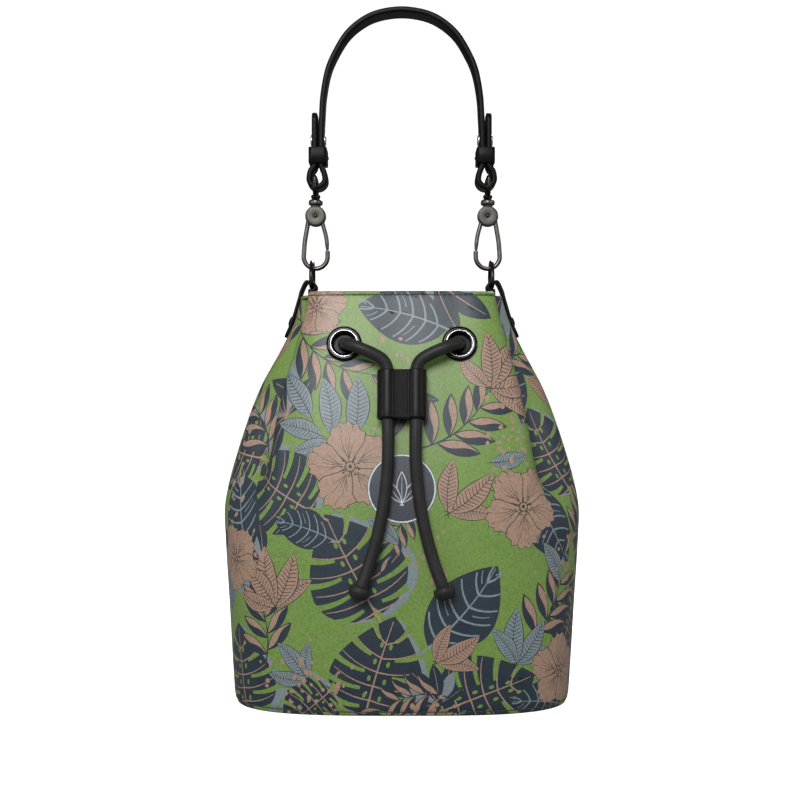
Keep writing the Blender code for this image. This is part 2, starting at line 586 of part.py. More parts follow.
def hook(side, name, axis):
    """Frame with its hub and collar, gate on its pin, and the gate's torsion spring."""
    turn = empty(f"hook_swivel_{name}", (side * RIG_X, 0, HUB_Z), axis)

    def at(x, z):
        return Vector((side * (RIG_X + x), 0, z))

    round_z = HOOK_BOTTOM + HOOK_HALF
    path = [at(0.0052, HUB_Z - 0.0022), at(0.0063, HUB_Z - 0.0100), at(0.0076, HUB_Z - 0.0180)]
    path += [at(HOOK_HALF * math.cos(math.radians(a)), round_z + HOOK_HALF * math.sin(math.radians(a)))
             for a in range(0, -181, -18)]
    path += [at(-HOOK_HALF, round_z + NOSE)]
    frame = add(f"hook_frame_{name}", mesh_of(solid_of(tube(path, WIRE)), "frame"), "gunmetal", parent=turn)
    combine(frame, cylinder(HUB_R, HUB_THICK, (0, 1, 0), at(0, HUB_Z), 28), "UNION")
    collar_low = HUB_Z + HUB_R - 0.0016
    combine(frame, cylinder(COLLAR_R, COLLAR_TOP - collar_low, (0, 0, 1), at(0, (COLLAR_TOP + collar_low) / 2), 20),
            "UNION")
    combine(frame, cylinder(0.0040, SLOT, (0, 1, 0), at(0, HUB_Z), 20), "DIFFERENCE")
    combine(frame, block((0.0100, SLOT - 0.0001, 0.0110), at(-0.0040, HUB_Z - 0.0040)), "DIFFERENCE")
    chamber_top, chamber_low = HUB_Z + HUB_R - 0.0020, HUB_Z + 0.0030
    combine(frame, cylinder(0.0022, chamber_top - chamber_low, (0, 0, 1), at(0, (chamber_top + chamber_low) / 2), 16),
            "DIFFERENCE")
    combine(frame, cylinder(STUD_R + GAP, 0.010, (0, 0, 1), at(0, chamber_top + 0.0045), 16), "DIFFERENCE")
    combine(frame, cylinder(PIN_R + GAP, 0.010, (0, 1, 0), at(0, HUB_Z), 12), "DIFFERENCE")

    gate_axis = empty(f"gate_hinge_{name}", at(0, HUB_Z), turn)
    leg = [at(-0.0062, HUB_Z - 0.0080), at(-0.0070, HUB_Z - 0.0130), at(-0.0078, HUB_Z - 0.0180),
           at(-HOOK_HALF, round_z + NOSE + 0.00065)]
    gate = add(f"hook_gate_{name}", mesh_of(solid_of(tube(leg, WIRE)), "gate"), "gunmetal", parent=gate_axis)
    past_nose = math.hypot(HOOK_HALF - WIRE / 2, HUB_Z - round_z - NOSE) - GAP
    combine(gate, cylinder(past_nose, 2 * WIRE, (0, 1, 0), at(0, HUB_Z), 96), "INTERSECT")
    tongue_y = -(SLOT - TONGUE) / 2 + GAP
    shift = Vector((0, tongue_y, 0))
    arm = block((0.0030, TONGUE, 0.0115), (0, 0, -0.0058))
    bmesh.ops.rotate(arm, verts=arm.verts, cent=(0, 0, 0),
                     matrix=Matrix.Rotation(side * math.atan2(0.0062, 0.0082), 3, "Y"))
    combine(gate, moved(arm, at(0, HUB_Z) + shift), "UNION")
    combine(gate, cylinder(0.0034, TONGUE, (0, 1, 0), at(0, HUB_Z) + shift, 20), "UNION")
    combine(gate, cylinder(PIN_R + 0.00005, 0.010, (0, 1, 0), at(0, HUB_Z), 24), "DIFFERENCE")
    half = HUB_THICK / 2 + GAP
    pin = [(0, half + 0.0005), (0.0013, half + 0.0005), (0.0017, half), (PIN_R, half), (PIN_R, -half),
           (0.0017, -half), (0.0013, -half - 0.0005), (0, -half - 0.0005)]
    add(f"gate_pin_{name}", mesh_of(turned_solid(pin, (0, 1, 0), at(0, HUB_Z), 16), "pin"), "gunmetal", parent=turn)
    start = tongue_y + TONGUE / 2 + GAP + 0.0002
    coil = [at(0, HUB_Z) + Vector((0.0022 * math.cos(t), start + 0.0005 * t / math.tau, 0.0022 * math.sin(t)))
            for t in [math.tau * k / 10 for k in range(13)]]
    add(f"gate_spring_{name}", tube(coil, 0.0004, resolution=1), "gunmetal", parent=turn)


panels = {}
body()
eyelets()
drawstring()
tabs()
handle()
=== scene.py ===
# %% [markdown]
# # A printed drawstring bucket bag
# This lesson dresses a finished mechanical model. The model, called the frame, already has every part in its
# place. Here each soft or round part gets a fine surface and each surface gets a material worth looking at.
# Everything is in metres: the bag stands on z = 0 and its front faces -Y.

# %% Load the frame
import math

import bmesh
import bpy
import numpy as np
from mathutils import Matrix, Vector, geometry


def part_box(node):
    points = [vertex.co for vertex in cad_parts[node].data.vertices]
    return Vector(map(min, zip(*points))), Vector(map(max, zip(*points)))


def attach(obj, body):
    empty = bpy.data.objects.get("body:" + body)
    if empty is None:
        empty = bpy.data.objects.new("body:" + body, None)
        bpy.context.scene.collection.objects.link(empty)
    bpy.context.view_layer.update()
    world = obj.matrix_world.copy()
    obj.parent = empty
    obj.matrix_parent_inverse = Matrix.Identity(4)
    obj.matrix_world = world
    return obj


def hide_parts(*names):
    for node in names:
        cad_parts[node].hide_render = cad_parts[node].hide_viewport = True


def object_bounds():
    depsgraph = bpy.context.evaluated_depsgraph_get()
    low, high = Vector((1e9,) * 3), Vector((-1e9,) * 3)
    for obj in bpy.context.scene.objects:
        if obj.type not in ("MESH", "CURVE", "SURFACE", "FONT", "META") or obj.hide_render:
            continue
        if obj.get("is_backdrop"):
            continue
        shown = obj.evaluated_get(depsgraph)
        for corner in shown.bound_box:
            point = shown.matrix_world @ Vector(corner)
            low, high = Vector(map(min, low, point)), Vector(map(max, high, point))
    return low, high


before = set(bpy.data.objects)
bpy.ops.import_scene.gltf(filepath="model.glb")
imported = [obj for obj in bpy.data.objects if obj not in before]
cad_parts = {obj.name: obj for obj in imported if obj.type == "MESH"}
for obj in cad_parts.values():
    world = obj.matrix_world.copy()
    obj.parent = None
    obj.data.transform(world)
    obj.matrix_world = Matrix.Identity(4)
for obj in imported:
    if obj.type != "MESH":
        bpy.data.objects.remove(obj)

CAD_BOX = [list(corner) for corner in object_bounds()]
SIDES = ((-1, "left"), (1, "right"))
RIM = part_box("front_panel")[1][2]
GAP = 0.0003
print("frame:", len(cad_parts), "nodes, rim at", round(RIM, 4))

# %% [markdown]
# ## Camera, floor and light
# A product picture of this kind is taken level, from about the bag's middle, with a longish lens. The floor
# curves up behind the bag so that no horizon shows. One large soft light hangs in front and above, a weaker one
# behind, and the pale surroundings fill the rest. Floor and room are brighter to the camera than to the bag, so the
# background is white while black leather stays black.

# %% Camera
CAMERA_AT = (-0.0012, -0.910, 0.2035)
bpy.ops.object.select_all(action="DESELECT")
bpy.ops.object.camera_add(location=CAMERA_AT, rotation=(math.pi / 2, 0, 0))
camera = bpy.context.object
camera.data.lens = 58.5
camera.data.sensor_width = 36
camera.data.clip_start = 0.01
bpy.context.scene.camera = camera

# %% Floor and lights
def studio_floor():
    """A floor that sweeps up into a backdrop."""
    bpy.ops.mesh.primitive_plane_add(size=1, location=(0, 0, 0))
    floor = bpy.context.object
    floor.name = "studio_floor"
    floor.scale = (14, 7, 1)
    bpy.ops.object.transform_apply(location=True, rotation=False, scale=True)
    bpy.ops.object.mode_set(mode="EDIT")
    bpy.ops.mesh.select_all(action="DESELECT")
    bpy.ops.object.mode_set(mode="OBJECT")
    for edge in floor.data.edges:
        edge.select = all(floor.data.vertices[v].co.y > 3 for v in edge.vertices)
    bpy.ops.object.mode_set(mode="EDIT")
    bpy.ops.mesh.select_mode(type="EDGE")
    for turn in range(1, 10):
        bend = math.radians(10 * turn - 5)
        bpy.ops.mesh.extrude_edges_move(
            TRANSFORM_OT_translate={"value": (0, 0.42 * math.cos(bend), 0.42 * math.sin(bend))})
    bpy.ops.mesh.extrude_edges_move(TRANSFORM_OT_translate={"value": (0, 0, 4)})
    bpy.ops.object.mode_set(mode="OBJECT")
    bpy.ops.object.shade_smooth()
    floor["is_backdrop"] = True
    return floor


def soft_light(name, place, size, power):
    bpy.ops.object.light_add(type="AREA", location=place)
    lamp = bpy.context.object
    lamp.name = name
    lamp.data.shape = "DISK"
    lamp.data.size = size
    lamp.data.energy = power
    lamp.rotation_euler = (Vector(MIDDLE) - Vector(place)).to_track_quat("-Z", "Y").to_euler()


MIDDLE = (0, 0, 0.22)         # where the lights point
ROOM_LIGHT, ROOM_SEEN = 0.34, 1.05
floor = studio_floor()
paper = bpy.data.materials.new("lit_paper")
paper.use_nodes = True
nodes, links = paper.node_tree.nodes, paper.node_tree.links
for socket, value in (("Base Color", (0.85, 0.85, 0.85, 1)), ("Roughness", 0.8), ("Specular IOR Level", 0.1),
                      ("Emission Color", (1, 1, 1, 1)), ("Emission Strength", 0.82)):
    nodes["Principled BSDF"].inputs[socket].default_value = value
dim, seen, either = (nodes.new("ShaderNode" + kind) for kind in ("BsdfDiffuse", "LightPath", "MixShader"))
dim.inputs["Color"].default_value = (0.22, 0.22, 0.22, 1)
links.new(seen.outputs["Is Camera Ray"], either.inputs["Fac"])
links.new(dim.outputs["BSDF"], either.inputs[1])
links.new(nodes["Principled BSDF"].outputs["BSDF"], either.inputs[2])
links.new(either.outputs["Shader"], nodes["Material Output"].inputs["Surface"])
floor.data.materials.append(paper)
soft_light("key_light", (-0.28, -1.85, 1.22), 1.0, 35)
soft_light("left_strip", (-1.4, -0.9, 0.5), 0.35, 3.0)
soft_light("right_strip", (1.5, -0.8, 0.6), 0.35, 2.6)
soft_light("back_light", (0.45, 1.60, 1.45), 1.0, 24)

world = bpy.data.worlds.new("pale_room")
bpy.context.scene.world = world
world.use_nodes = True
nodes, links = world.node_tree.nodes, world.node_tree.links
nodes["Background"].inputs["Color"].default_value = (1, 1, 1, 1)
rays, level = nodes.new("ShaderNodeLightPath"), nodes.new("ShaderNodeMapRange")
level.inputs["To Min"].default_value = ROOM_LIGHT
level.inputs["To Max"].default_value = ROOM_SEEN
links.new(rays.outputs["Is Camera Ray"], level.inputs["Value"])
links.new(level.outputs["Result"], nodes["Background"].inputs["Strength"])
bpy.context.scene.view_settings.view_transform = "Standard"
bpy.context.scene.view_settings.look = "None"

# %% [markdown]
# ## Shader sums as plain Python
# A material is a graph of nodes, and graphs are slow to read in code. The class below wraps one output socket,
# so that `0.4 + 0.2 * noise` adds the Math nodes by itself. Any other node comes from `Finish.node`.

# %% A socket that can be added and multiplied
class Value:
    """An output socket of a material's graph that takes part in sums."""

    def __init__(self, finish, socket):
        self.finish = finish
        self.socket = socket

    def _sum(self, operation, first, second):
        return self.finish.node("Math", {"operation": operation}, {0: first, 1: second})

    def __add__(self, other):
        return self._sum("ADD", self, other)

    def __radd__(self, other):
        return self._sum("ADD", other, self)

    def __mul__(self, other):
        return self._sum("MULTIPLY", self, other)

    def __rmul__(self, other):
        return self._sum("MULTIPLY", other, self)


class Finish:
    """A material with one Principled shader, whose constants are set straight on its sockets."""

    def __init__(self, name, colour, roughness=0.5, metallic=0.0, coat=0.0, coat_roughness=0.2, sheen=0.0,
                 specular=0.5):
        self.material = bpy.data.materials.new(name)
        self.material.use_nodes = True
        self.nodes = self.material.node_tree.nodes
        self.links = self.material.node_tree.links
        self.shader = self.nodes["Principled BSDF"]
        for socket, value in (("Base Color", (*colour, 1)), ("Roughness", roughness), ("Metallic", metallic),
                              ("Coat Weight", coat), ("Coat Roughness", coat_roughness), ("Sheen Weight", sheen),
                              ("Specular IOR Level", specular)):
            self.shader.inputs[socket].default_value = value
        self.places = self.node("TexCoord", out="Object")

    def node(self, kind, settings=None, inputs=None, out=0):
        """Adds a node: its settings first, then the values or links of its sockets."""
        made = self.nodes.new("ShaderNode" + kind)
        for setting, value in (settings or {}).items():
            setattr(made, setting, value)
        for socket, value in (inputs or {}).items():
            if isinstance(value, Value):
                self.links.new(value.socket, made.inputs[socket])
            else:
                made.inputs[socket].default_value = value
        return Value(self, made.outputs[out])

    def noise(self, scale, detail=3, roughness=0.5, at=None):
        return self.node("TexNoise", None, {"Vector": at or self.places, "Scale": scale, "Detail": detail,
                                            "Roughness": roughness})

    def cells(self, scale, at=None):
        return self.node("TexVoronoi", None, {"Vector": at or self.places, "Scale": scale}, out="Distance")

    def ramp(self, value, stops):
        """A soft step through (position, grey or colour) stops."""
        made = self.nodes.new("ShaderNodeValToRGB")
        band = made.color_ramp
        while len(band.elements) < len(stops):
            band.elements.new(0.5)
        for element, (position, shade) in zip(band.elements, stops):
            element.position = position
            element.color = (*shade, 1) if hasattr(shade, "__len__") else (shade, shade, shade, 1)
        self.links.new(value.socket, made.inputs["Fac"])
        return Value(self, made.outputs["Color"])

    def mix(self, factor, first, second, blend="MIX"):
        made = self.nodes.new("ShaderNodeMix")
        made.data_type = "RGBA"
        made.blend_type = blend
        for index, value in ((0, factor), (6, first), (7, second)):
            if isinstance(value, Value):
                self.links.new(value.socket, made.inputs[index])
            else:
                made.inputs[index].default_value = value if index == 0 else (*value, 1)
        return Value(self, made.outputs[2])

    def feed(self, socket, value):
        self.links.new(value.socket, self.shader.inputs[socket])
        return self

    def bump(self, height, depth, strength=1.0):
        """Raises the surface by height, whose full swing is depth in metres."""
        return self.feed("Normal", self.node("Bump", None, {"Height": height, "Distance": depth, "Strength": strength}))

    def shade(self, factor, low, high):
        """Lets the base colour run from low to high times the colour that the finish started with."""
        colour = tuple(self.shader.inputs["Base Color"].default_value)[:3]
        return self.feed("Base Color", self.mix(factor, *(tuple(share * c for c in colour) for share in (low, high))))

    def cover(self, *pieces):
        for piece in pieces:
            piece.data.materials.clear()
            piece.data.materials.append(self.material)


# %% [markdown]
# ## The finishes
# The bag has few materials: printed grained leather, smooth black leather for cord, strap and trims, gunmetal
# hardware, glossy black eyelets and a woven lining. Each gets the small unevenness that the real one has. Black
# leather is never one black: the grain's valleys stay dull while its tops are polished.

# %% Black leather
def black_leather(name, grain, colour=(0.0045, 0.0045, 0.0047), roughness=0.40, specular=0.14):
    """Smooth dyed leather: fine pores, soft creases and a waxed top."""
    made = Finish(name, colour, roughness, coat=0.05, coat_roughness=0.25, specular=specular)
    pores = made.cells(grain)
    cloud = made.noise(grain * 0.06, 4)
    made.shade(cloud, 0.65, 1.7)
    made.feed("Roughness", roughness - 0.08 + 0.16 * cloud)
    made.bump(made.ramp(pores, ((0.0, 0.0), (0.45, 1.0))), 0.00012, 0.55)
    return made


STRAP_LEATHER = black_leather("strap_leather", 1300, (0.0030, 0.0030, 0.0031), 0.42, 0.07)
# The cord's black is several times lighter than the strap's and the trims': painted highlight, for the soft light along
# the middle of the round cords.
CORD_LEATHER = black_leather("cord_leather", 1700, (0.0160, 0.0160, 0.0163), 0.48, 0.20)
TRIM_LEATHER = black_leather("trim_leather", 1100, (0.0040, 0.0040, 0.0042), 0.40)

# %% Metals
def metal(name, colour, roughness, brushing):
    """Plated zinc: faint tumbling marks and a slow drift in its shade."""
    made = Finish(name, colour, roughness, metallic=1.0)
    drift = made.noise(90, 3)
    fine = made.noise(brushing, 2, 0.7)
    made.shade(drift, 0.8, 1.15)
    made.feed("Roughness", roughness - 0.06 + 0.14 * fine)
    made.bump(fine, 0.00003, 0.35)
    return made


GUNMETAL = metal("gunmetal", (0.130, 0.122, 0.112), 0.34, 1400)
DARK_METAL = metal("dark_hardware", (0.036, 0.035, 0.033), 0.18, 1400)
EYELET_METAL = metal("black_nickel", (0.020, 0.020, 0.021), 0.16, 700)
# Bright metal for the strap screws and posts. On the eyelets the same finish paints a highlight: a bright ring where
# the black flange reflects the light.
BRIGHT_METAL_AND_HIGHLIGHT = metal("polished_edge", (0.90, 0.90, 0.89), 0.26, 1600)

# %% Cloth, board and thread
def weave(name, colour, pitch):
    """Plain weave: two crossed sets of threads, each going over and under the other."""
    made = Finish(name, colour, 0.85, sheen=0.25)
    across = made.node("SeparateXYZ", None, {0: made.node("UVMap", {"uv_map": "flat"})})
    along = Value(made, across.socket.node.outputs[1])
    across, along = (made.node("Math", {"operation": "SINE"}, {0: way * (math.tau / pitch)}) for way in (across, along))
    cross = across * along
    made.shade(0.5 + 0.5 * cross, 0.5, 1.6)
    made.bump(cross, 0.0002, 0.6)
    return made


LINING_CLOTH = weave("lining_cloth", (0.030, 0.030, 0.032), 0.0011)
BOARD = Finish("fibre_board", (0.20, 0.15, 0.10), 0.9)
BOARD.feed("Base Color", BOARD.ramp(BOARD.noise(400, 5), ((0.3, (0.12, 0.085, 0.055)), (0.7, (0.27, 0.20, 0.14)))))
BOARD.bump(BOARD.noise(700, 3), 0.0002, 0.5)
THREAD = Finish("dark_thread", (0.03, 0.032, 0.03), 0.6, sheen=0.3)
TWIST = THREAD.node("TexWave", {"bands_direction": "DIAGONAL"}, {"Vector": THREAD.places, "Scale": 900})
THREAD.bump(TWIST, 0.0001, 0.7)

# %% [markdown]
# ## The printed leather
# The print is carried by the mesh itself: every face has its colour in the attribute `print`, and the outlines of
# the leaves are edges of the mesh, so the print stays sharp at any distance without an image. The leather under it
# has a pebble grain, and where the bag leans back it picks up a broad soft sheen.

# %% Printed leather
def printed_leather():
    made = Finish("printed_leather", (0.2, 0.35, 0.1), 0.5, coat=0.42, coat_roughness=0.37, specular=0.30)
    ink = made.node("VertexColor", {"layer_name": "print"})
    flat = made.node("UVMap", {"uv_map": "flat"})
    pebbles = made.cells(720, flat)
    pale_patches = made.noise(60, 4, at=flat)
    fine = made.noise(2600, 2, at=flat)
    valley = made.ramp(pebbles, ((0.25, 1.0), (0.75, 0.78)))
    # A noise mixes a faint pale grey into the print in random patches, and the same noise varies the roughness.
    made.feed("Base Color", made.mix(0.05 * pale_patches, made.mix(1.0, ink, valley, "MULTIPLY"), (0.45, 0.46, 0.42)))
    made.feed("Roughness", 0.40 + 0.16 * pale_patches + 0.08 * fine)
    made.bump(made.ramp(pebbles, ((0.1, 1.0), (0.8, 0.0))), 0.00016, 0.5)
    return made


PRINTED_LEATHER = printed_leather()
print("finishes:", len([m for m in bpy.data.materials if m.users or m.use_nodes]))

# %% [markdown]
# ## Tools of the trade
# Five helpers do most of the modelling. `choose`, `edit` and `modified` keep the operators pointed at one piece,
# `sweep` carries an outline along a path, as a strap or a wire is drawn, and `lathe` spins a profile, as a turned
# fitting is cut.

# %% Small helpers for editing
def choose(*pieces):
    bpy.ops.object.select_all(action="DESELECT")
    for piece in pieces:
        piece.select_set(True)
    bpy.context.view_layer.objects.active = pieces[0]
    return pieces[0]


def edit(piece, work):
    """Runs work in edit mode with the whole mesh selected."""
    choose(piece)
    bpy.ops.object.mode_set(mode="EDIT")
    bpy.ops.mesh.select_all(action="SELECT")
    work()
    bpy.ops.object.mode_set(mode="OBJECT")
    return piece


def finish_surface(piece, angle=None):
    """Outward normals and smooth shading."""
    edit(piece, lambda: bpy.ops.mesh.normals_make_consistent(inside=False))
    if angle:
        bpy.ops.object.shade_smooth_by_angle(angle=math.radians(angle))
    else:
        bpy.ops.object.shade_smooth()
    return piece


def modified(piece, kind, **settings):
    """Applies one modifier."""
    choose(piece)
    step = piece.modifiers.new(kind, kind)
    for setting, value in settings.items():
        setattr(step, setting, value)
    bpy.ops.object.modifier_apply(modifier=step.name)
    return piece


def mesh_object(name, points, faces):
    mesh = bpy.data.meshes.new(name)
    mesh.from_pydata([tuple(p) for p in points], [], faces)
    made = bpy.data.objects.new(name, mesh)
    bpy.context.collection.objects.link(made)
    return made


def ring_faces(count, around, closed=False, start=0):
    """The faces between rings that hold the same number of points."""
    return [(start + k * around + j, start + k * around + (j + 1) % around,
             start + (k + 1) % count * around + (j + 1) % around, start + (k + 1) % count * around + j)
            for k in range(count if closed else count - 1) for j in range(around)]


# %% Paths and outlines
def travel_of(points):
    """The distance along a line of points at each of them."""
    return np.concatenate([[0], np.cumsum(np.linalg.norm(np.diff(points, axis=0), axis=1))])


def rounding(distance, radius, least=0.0):
    """Rises from least to 1 along a quarter circle as distance goes from 0 to radius."""
    return np.sqrt(np.clip(1 - (1 - np.clip(distance / radius, 0, 1)) ** 2, least, 1))


def curve_through(points, spacing, closed=False):
    """A smooth curve through points, with its own points at even spacing."""
    known = np.asarray(points, float)
    if closed:
        known = np.concatenate([known[-1:], known, known[:2]])
    else:
        known = np.concatenate([2 * known[:1] - known[1:2], known, 2 * known[-1:] - known[-2:-1]])
    fine = []
    for before, start, end, after in zip(known, known[1:], known[2:], known[3:]):
        t = np.linspace(0, 1, 16, endpoint=False)[:, None]
        fine.append(0.5 * (2 * start + (end - before) * t + (2 * before - 5 * start + 4 * end - after) * t ** 2
                           + (3 * start - before - 3 * end + after) * t ** 3))
    fine = np.concatenate(fine + [known[-2:-1]])
    length = travel_of(fine)
    count = max(4, int(round(length[-1] / spacing)))
    at = np.linspace(0, length[-1], count, endpoint=not closed)
    return np.stack([np.interp(at, length, fine[:, k]) for k in range(3)], axis=1)


def eased(profile, cut, rounds=3):
    """Rounds the corners of an open profile, each by at most cut."""
    known = np.asarray(profile, float)
    made = [known[0]]
    for before, corner, after in zip(known, known[1:], known[2:]):
        back, on = before - corner, after - corner
        reach = min(cut, 0.45 * np.linalg.norm(back), 0.45 * np.linalg.norm(on))
        first, last = corner + back / np.linalg.norm(back) * reach, corner + on / np.linalg.norm(on) * reach
        for t in np.linspace(0, 1, rounds):
            made.append((1 - t) ** 2 * first + 2 * t * (1 - t) * corner + t * t * last)
    return np.array(made + [known[-1]])


def slab(width, thickness, corner, steps=4, crown=0.0):
    """A strap's section: a rounded oblong, width along the real axis."""
    turn = np.exp(1j * np.linspace(0, math.pi / 2, steps + 1))
    quarter = complex(width / 2 - corner, thickness / 2 - corner) + corner * turn
    half = np.concatenate([quarter, -quarter.conj()[::-1]])
    whole = np.concatenate([half, -half])
    return whole + 1j * np.sign(whole.imag) * crown * (1 - (whole.real * 2 / width) ** 2)


def ring_of(radius, sides):
    return radius * np.exp(1j * np.linspace(0, math.tau, sides, endpoint=False))


# %% Sweep and lathe
def sweep(name, path, section, side=None, closed=False, wide=1.0, thick=1.0):
    """Carries section along path. Its real axis stays along side, or turns as little as it can. wide and thick
    scale the section at each point."""
    path = np.asarray(path, float)
    tangent = np.roll(path, -1, 0) - np.roll(path, 1, 0) if closed else np.gradient(path, axis=0)
    tangent /= np.linalg.norm(tangent, axis=1)[:, None]
    across = np.empty_like(path)
    guide = np.array(side if side is not None else (0.3, 0.9, 0.1), float)
    for k, way in enumerate(tangent):
        guide = guide - way * guide.dot(way)
        guide /= np.linalg.norm(guide)
        across[k] = guide
        if side is not None:
            guide = np.array(side, float)
    lift = np.cross(tangent, across)
    wide, thick = (np.broadcast_to(scale, len(path))[:, None, None] for scale in (wide, thick))
    rings = (path[:, None] + wide * section.real[None, :, None] * across[:, None]
             + thick * section.imag[None, :, None] * lift[:, None])
    around, count = len(section), len(path)
    faces = ring_faces(count, around, closed)
    if not closed:
        faces += [tuple(range(around))[::-1], tuple(range((count - 1) * around, count * around))]
    return mesh_object(name, rings.reshape(-1, 3), faces)


def domed(path, radius):
    """Adds the points and scales of a round end at both ends of a path."""
    path = np.asarray(path, float)
    bend = np.linspace(math.pi / 2, 0.12, 5)
    reach, scale = radius * np.cos(bend), np.sin(bend)
    head, tail = path[0] - path[1], path[-1] - path[-2]
    head, tail = head / np.linalg.norm(head), tail / np.linalg.norm(tail)
    start = [path[0] + head * (r - radius) for r in reach[::-1]]
    end = [path[-1] + tail * (r - radius) for r in reach]
    inner = [p for p in path[1:-1] if min(np.linalg.norm(p - path[0]), np.linalg.norm(p - path[-1])) > radius * 1.2]
    return np.array(start + inner + end), np.concatenate([scale[::-1], np.ones(len(inner)), scale])


def wire(name, path, diameter, side=None, closed=False, sides=16):
    if closed:
        return finish_surface(sweep(name, path, ring_of(diameter / 2, sides), side, True))
    ends, scale = domed(path, diameter / 2)
    return finish_surface(sweep(name, ends, ring_of(diameter / 2, sides), side, False, scale, scale), 60)


def lathe(name, profile, axis, place, steps=48, angle=35):
    """Spins a profile of (radius, height) about an axis through place."""
    piece = mesh_object(name, [(radius, 0, height) for radius, height in profile], [])
    piece.data.edges.add(len(profile) - 1)
    for k, edge in enumerate(piece.data.edges):
        edge.vertices = (k, k + 1)
    piece.data.update()

    def spin():
        bpy.ops.mesh.spin(steps=steps, angle=math.tau, center=(0, 0, 0), axis=(0, 0, 1))
        bpy.ops.mesh.select_all(action="SELECT")
        bpy.ops.mesh.remove_doubles(threshold=1e-6)

    edit(piece, spin)
    turn = Vector((0, 0, 1)).rotation_difference(Vector(axis)).to_matrix().to_4x4()
    piece.data.transform(Matrix.Translation(Vector(place)) @ turn)
    return finish_surface(piece, angle)


def joined(name, pieces):
    choose(*pieces)
    bpy.ops.object.join()
    pieces[0].name = name
    return pieces[0]


def settle(piece, body, *nodes, finish=None):
    """Gives a piece its material, its body and the frame nodes that it stands for."""
    if finish:
        finish.cover(piece)
    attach(piece, body)
    if nodes:
        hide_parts(*nodes)
    return piece


def copied(piece, name, mirrored=False, turned=False):
    """A copy with its own mesh, mirrored in x or turned half round about z."""
    other = piece.copy()
    other.data = piece.data.copy()
    other.name = other.data.name = name
    bpy.context.collection.objects.link(other)
    if turned:
        other.data.transform(Matrix.Rotation(math.pi, 4, "Z"))
    if mirrored:
        other.data.transform(Matrix.Scale(-1, 4, (1, 0, 0)))
        other.data.flip_normals()
    return other


def both_sides(*rows):
    """Settles right-hand pieces and their mirror images. A row is a piece, its name, body, node and finish, where {}
    stands for the side."""
    for side, name in SIDES:
        for first, title, body, node, finish in rows:
            piece = first if side > 0 else copied(first, title.format(name), mirrored=True)
            settle(piece, body.format(name), *([node.format(name)] if node else []), finish=finish)


# %% [markdown]
# ## The bag's form
# Seen from above the bag is a rounded oblong that gets squarer towards the mouth, and a fold runs down each
# corner from the rim to the widest point. The same formula that shapes the frame's walls is read here for many
# points at once. A flat piece of leather is laid onto it by arc length, so the print keeps its size.

# %% The wall's formula
HALF_WIDTH = [(0, 0.1145), (0.1, 0.1163), (0.24, 0.1187), (0.4, 0.1215), (0.49, 0.1216),
              (0.62, 0.1125), (0.76, 0.0990), (0.865, 0.0840), (0.93, 0.0755), (1, 0.0695)]
HALF_DEPTH = [(0, 0.076), (0.145, 0.0805), (0.4, 0.0835), (0.545, 0.0815), (0.727, 0.074),
              (0.873, 0.0665), (1, 0.059)]
SQUARENESS = [(0, 3.2), (0.4, 3.0), (0.545, 3.3), (0.655, 4.0), (0.836, 5.2), (1, 7.0)]
FOLD = [(0, 0), (0.42, 0), (0.49, 0.04), (0.56, 0.12), (0.655, 0.17), (0.836, 0.19), (1, 0.17)]
FOLD_ANGLE, FOLD_SPREAD = 28, 9
LEATHER = 0.0014
INNER_WALL = 0.0023           # from the wall's outer face to the lining


def value_at(table, share):
    """A smooth curve through a table's rows, for an array of shares of the height."""
    at, value = (np.array(column, float) for column in zip(*table))
    slope = np.gradient(value, at)
    slope[1:-1] = (value[2:] - value[:-2]) / (at[2:] - at[:-2])
    share = np.clip(share, 0, 1)
    k = np.clip(np.searchsorted(at, share) - 1, 0, len(at) - 2)
    h = at[k + 1] - at[k]
    t = (share - at[k]) / h
    return ((2 * t ** 3 - 3 * t * t + 1) * value[k] + (t ** 3 - 2 * t * t + t) * h * slope[k]
            + (3 * t * t - 2 * t ** 3) * value[k + 1] + (t ** 3 - t * t) * h * slope[k + 1])


def plan_at(height, angle):
    """x and y of the outer wall at heights and at angles in degrees from +X."""
    share = height / RIM
    wide, deep = value_at(HALF_WIDTH, share), value_at(HALF_DEPTH, share)
    power = value_at(SQUARENESS, share)
    turn = np.radians(angle)
    reach = (np.abs(np.cos(turn) / wide) ** power + np.abs(np.sin(turn) / deep) ** power) ** (-1 / power)
    from_side = np.abs((angle + 90) % 180 - 90)
    reach = reach * (1 - np.maximum(value_at(FOLD, share), 0)
                     * np.exp(-((from_side - FOLD_ANGLE) / FOLD_SPREAD) ** 2))
    return reach * np.cos(turn), reach * np.sin(turn)


# %% Arc length along each level
LEVELS = np.linspace(0, RIM, 201)
ANGLES = np.linspace(0, 90, 361)          # 0 at the middle of the front, 90 at the side seam
steps = np.hypot(*(np.diff(way) for way in plan_at(LEVELS[:, None], ANGLES[None, :] - 90)))
ARC = np.concatenate([np.zeros((len(LEVELS), 1)), np.cumsum(steps, axis=1)], axis=1)


def seam_at(height):
    """Arc length from the middle of a panel to its side seam."""
    return np.interp(height, LEVELS, ARC[:, -1])


def angle_at(along, height):
    """The angle, in degrees from -Y, that lies this far along the wall at each height."""
    place = np.clip(height / RIM * (len(LEVELS) - 1), 0, len(LEVELS) - 1.001)
    low = place.astype(int)
    found = np.empty(len(along))
    for level in np.unique(low):
        here = low == level
        length = np.abs(along[here])
        below = np.interp(length, ARC[level], ANGLES)
        above = np.interp(length, ARC[level + 1], ANGLES)
        part = place[here] - level
        found[here] = below + (above - below) * part
    return found * np.sign(along)


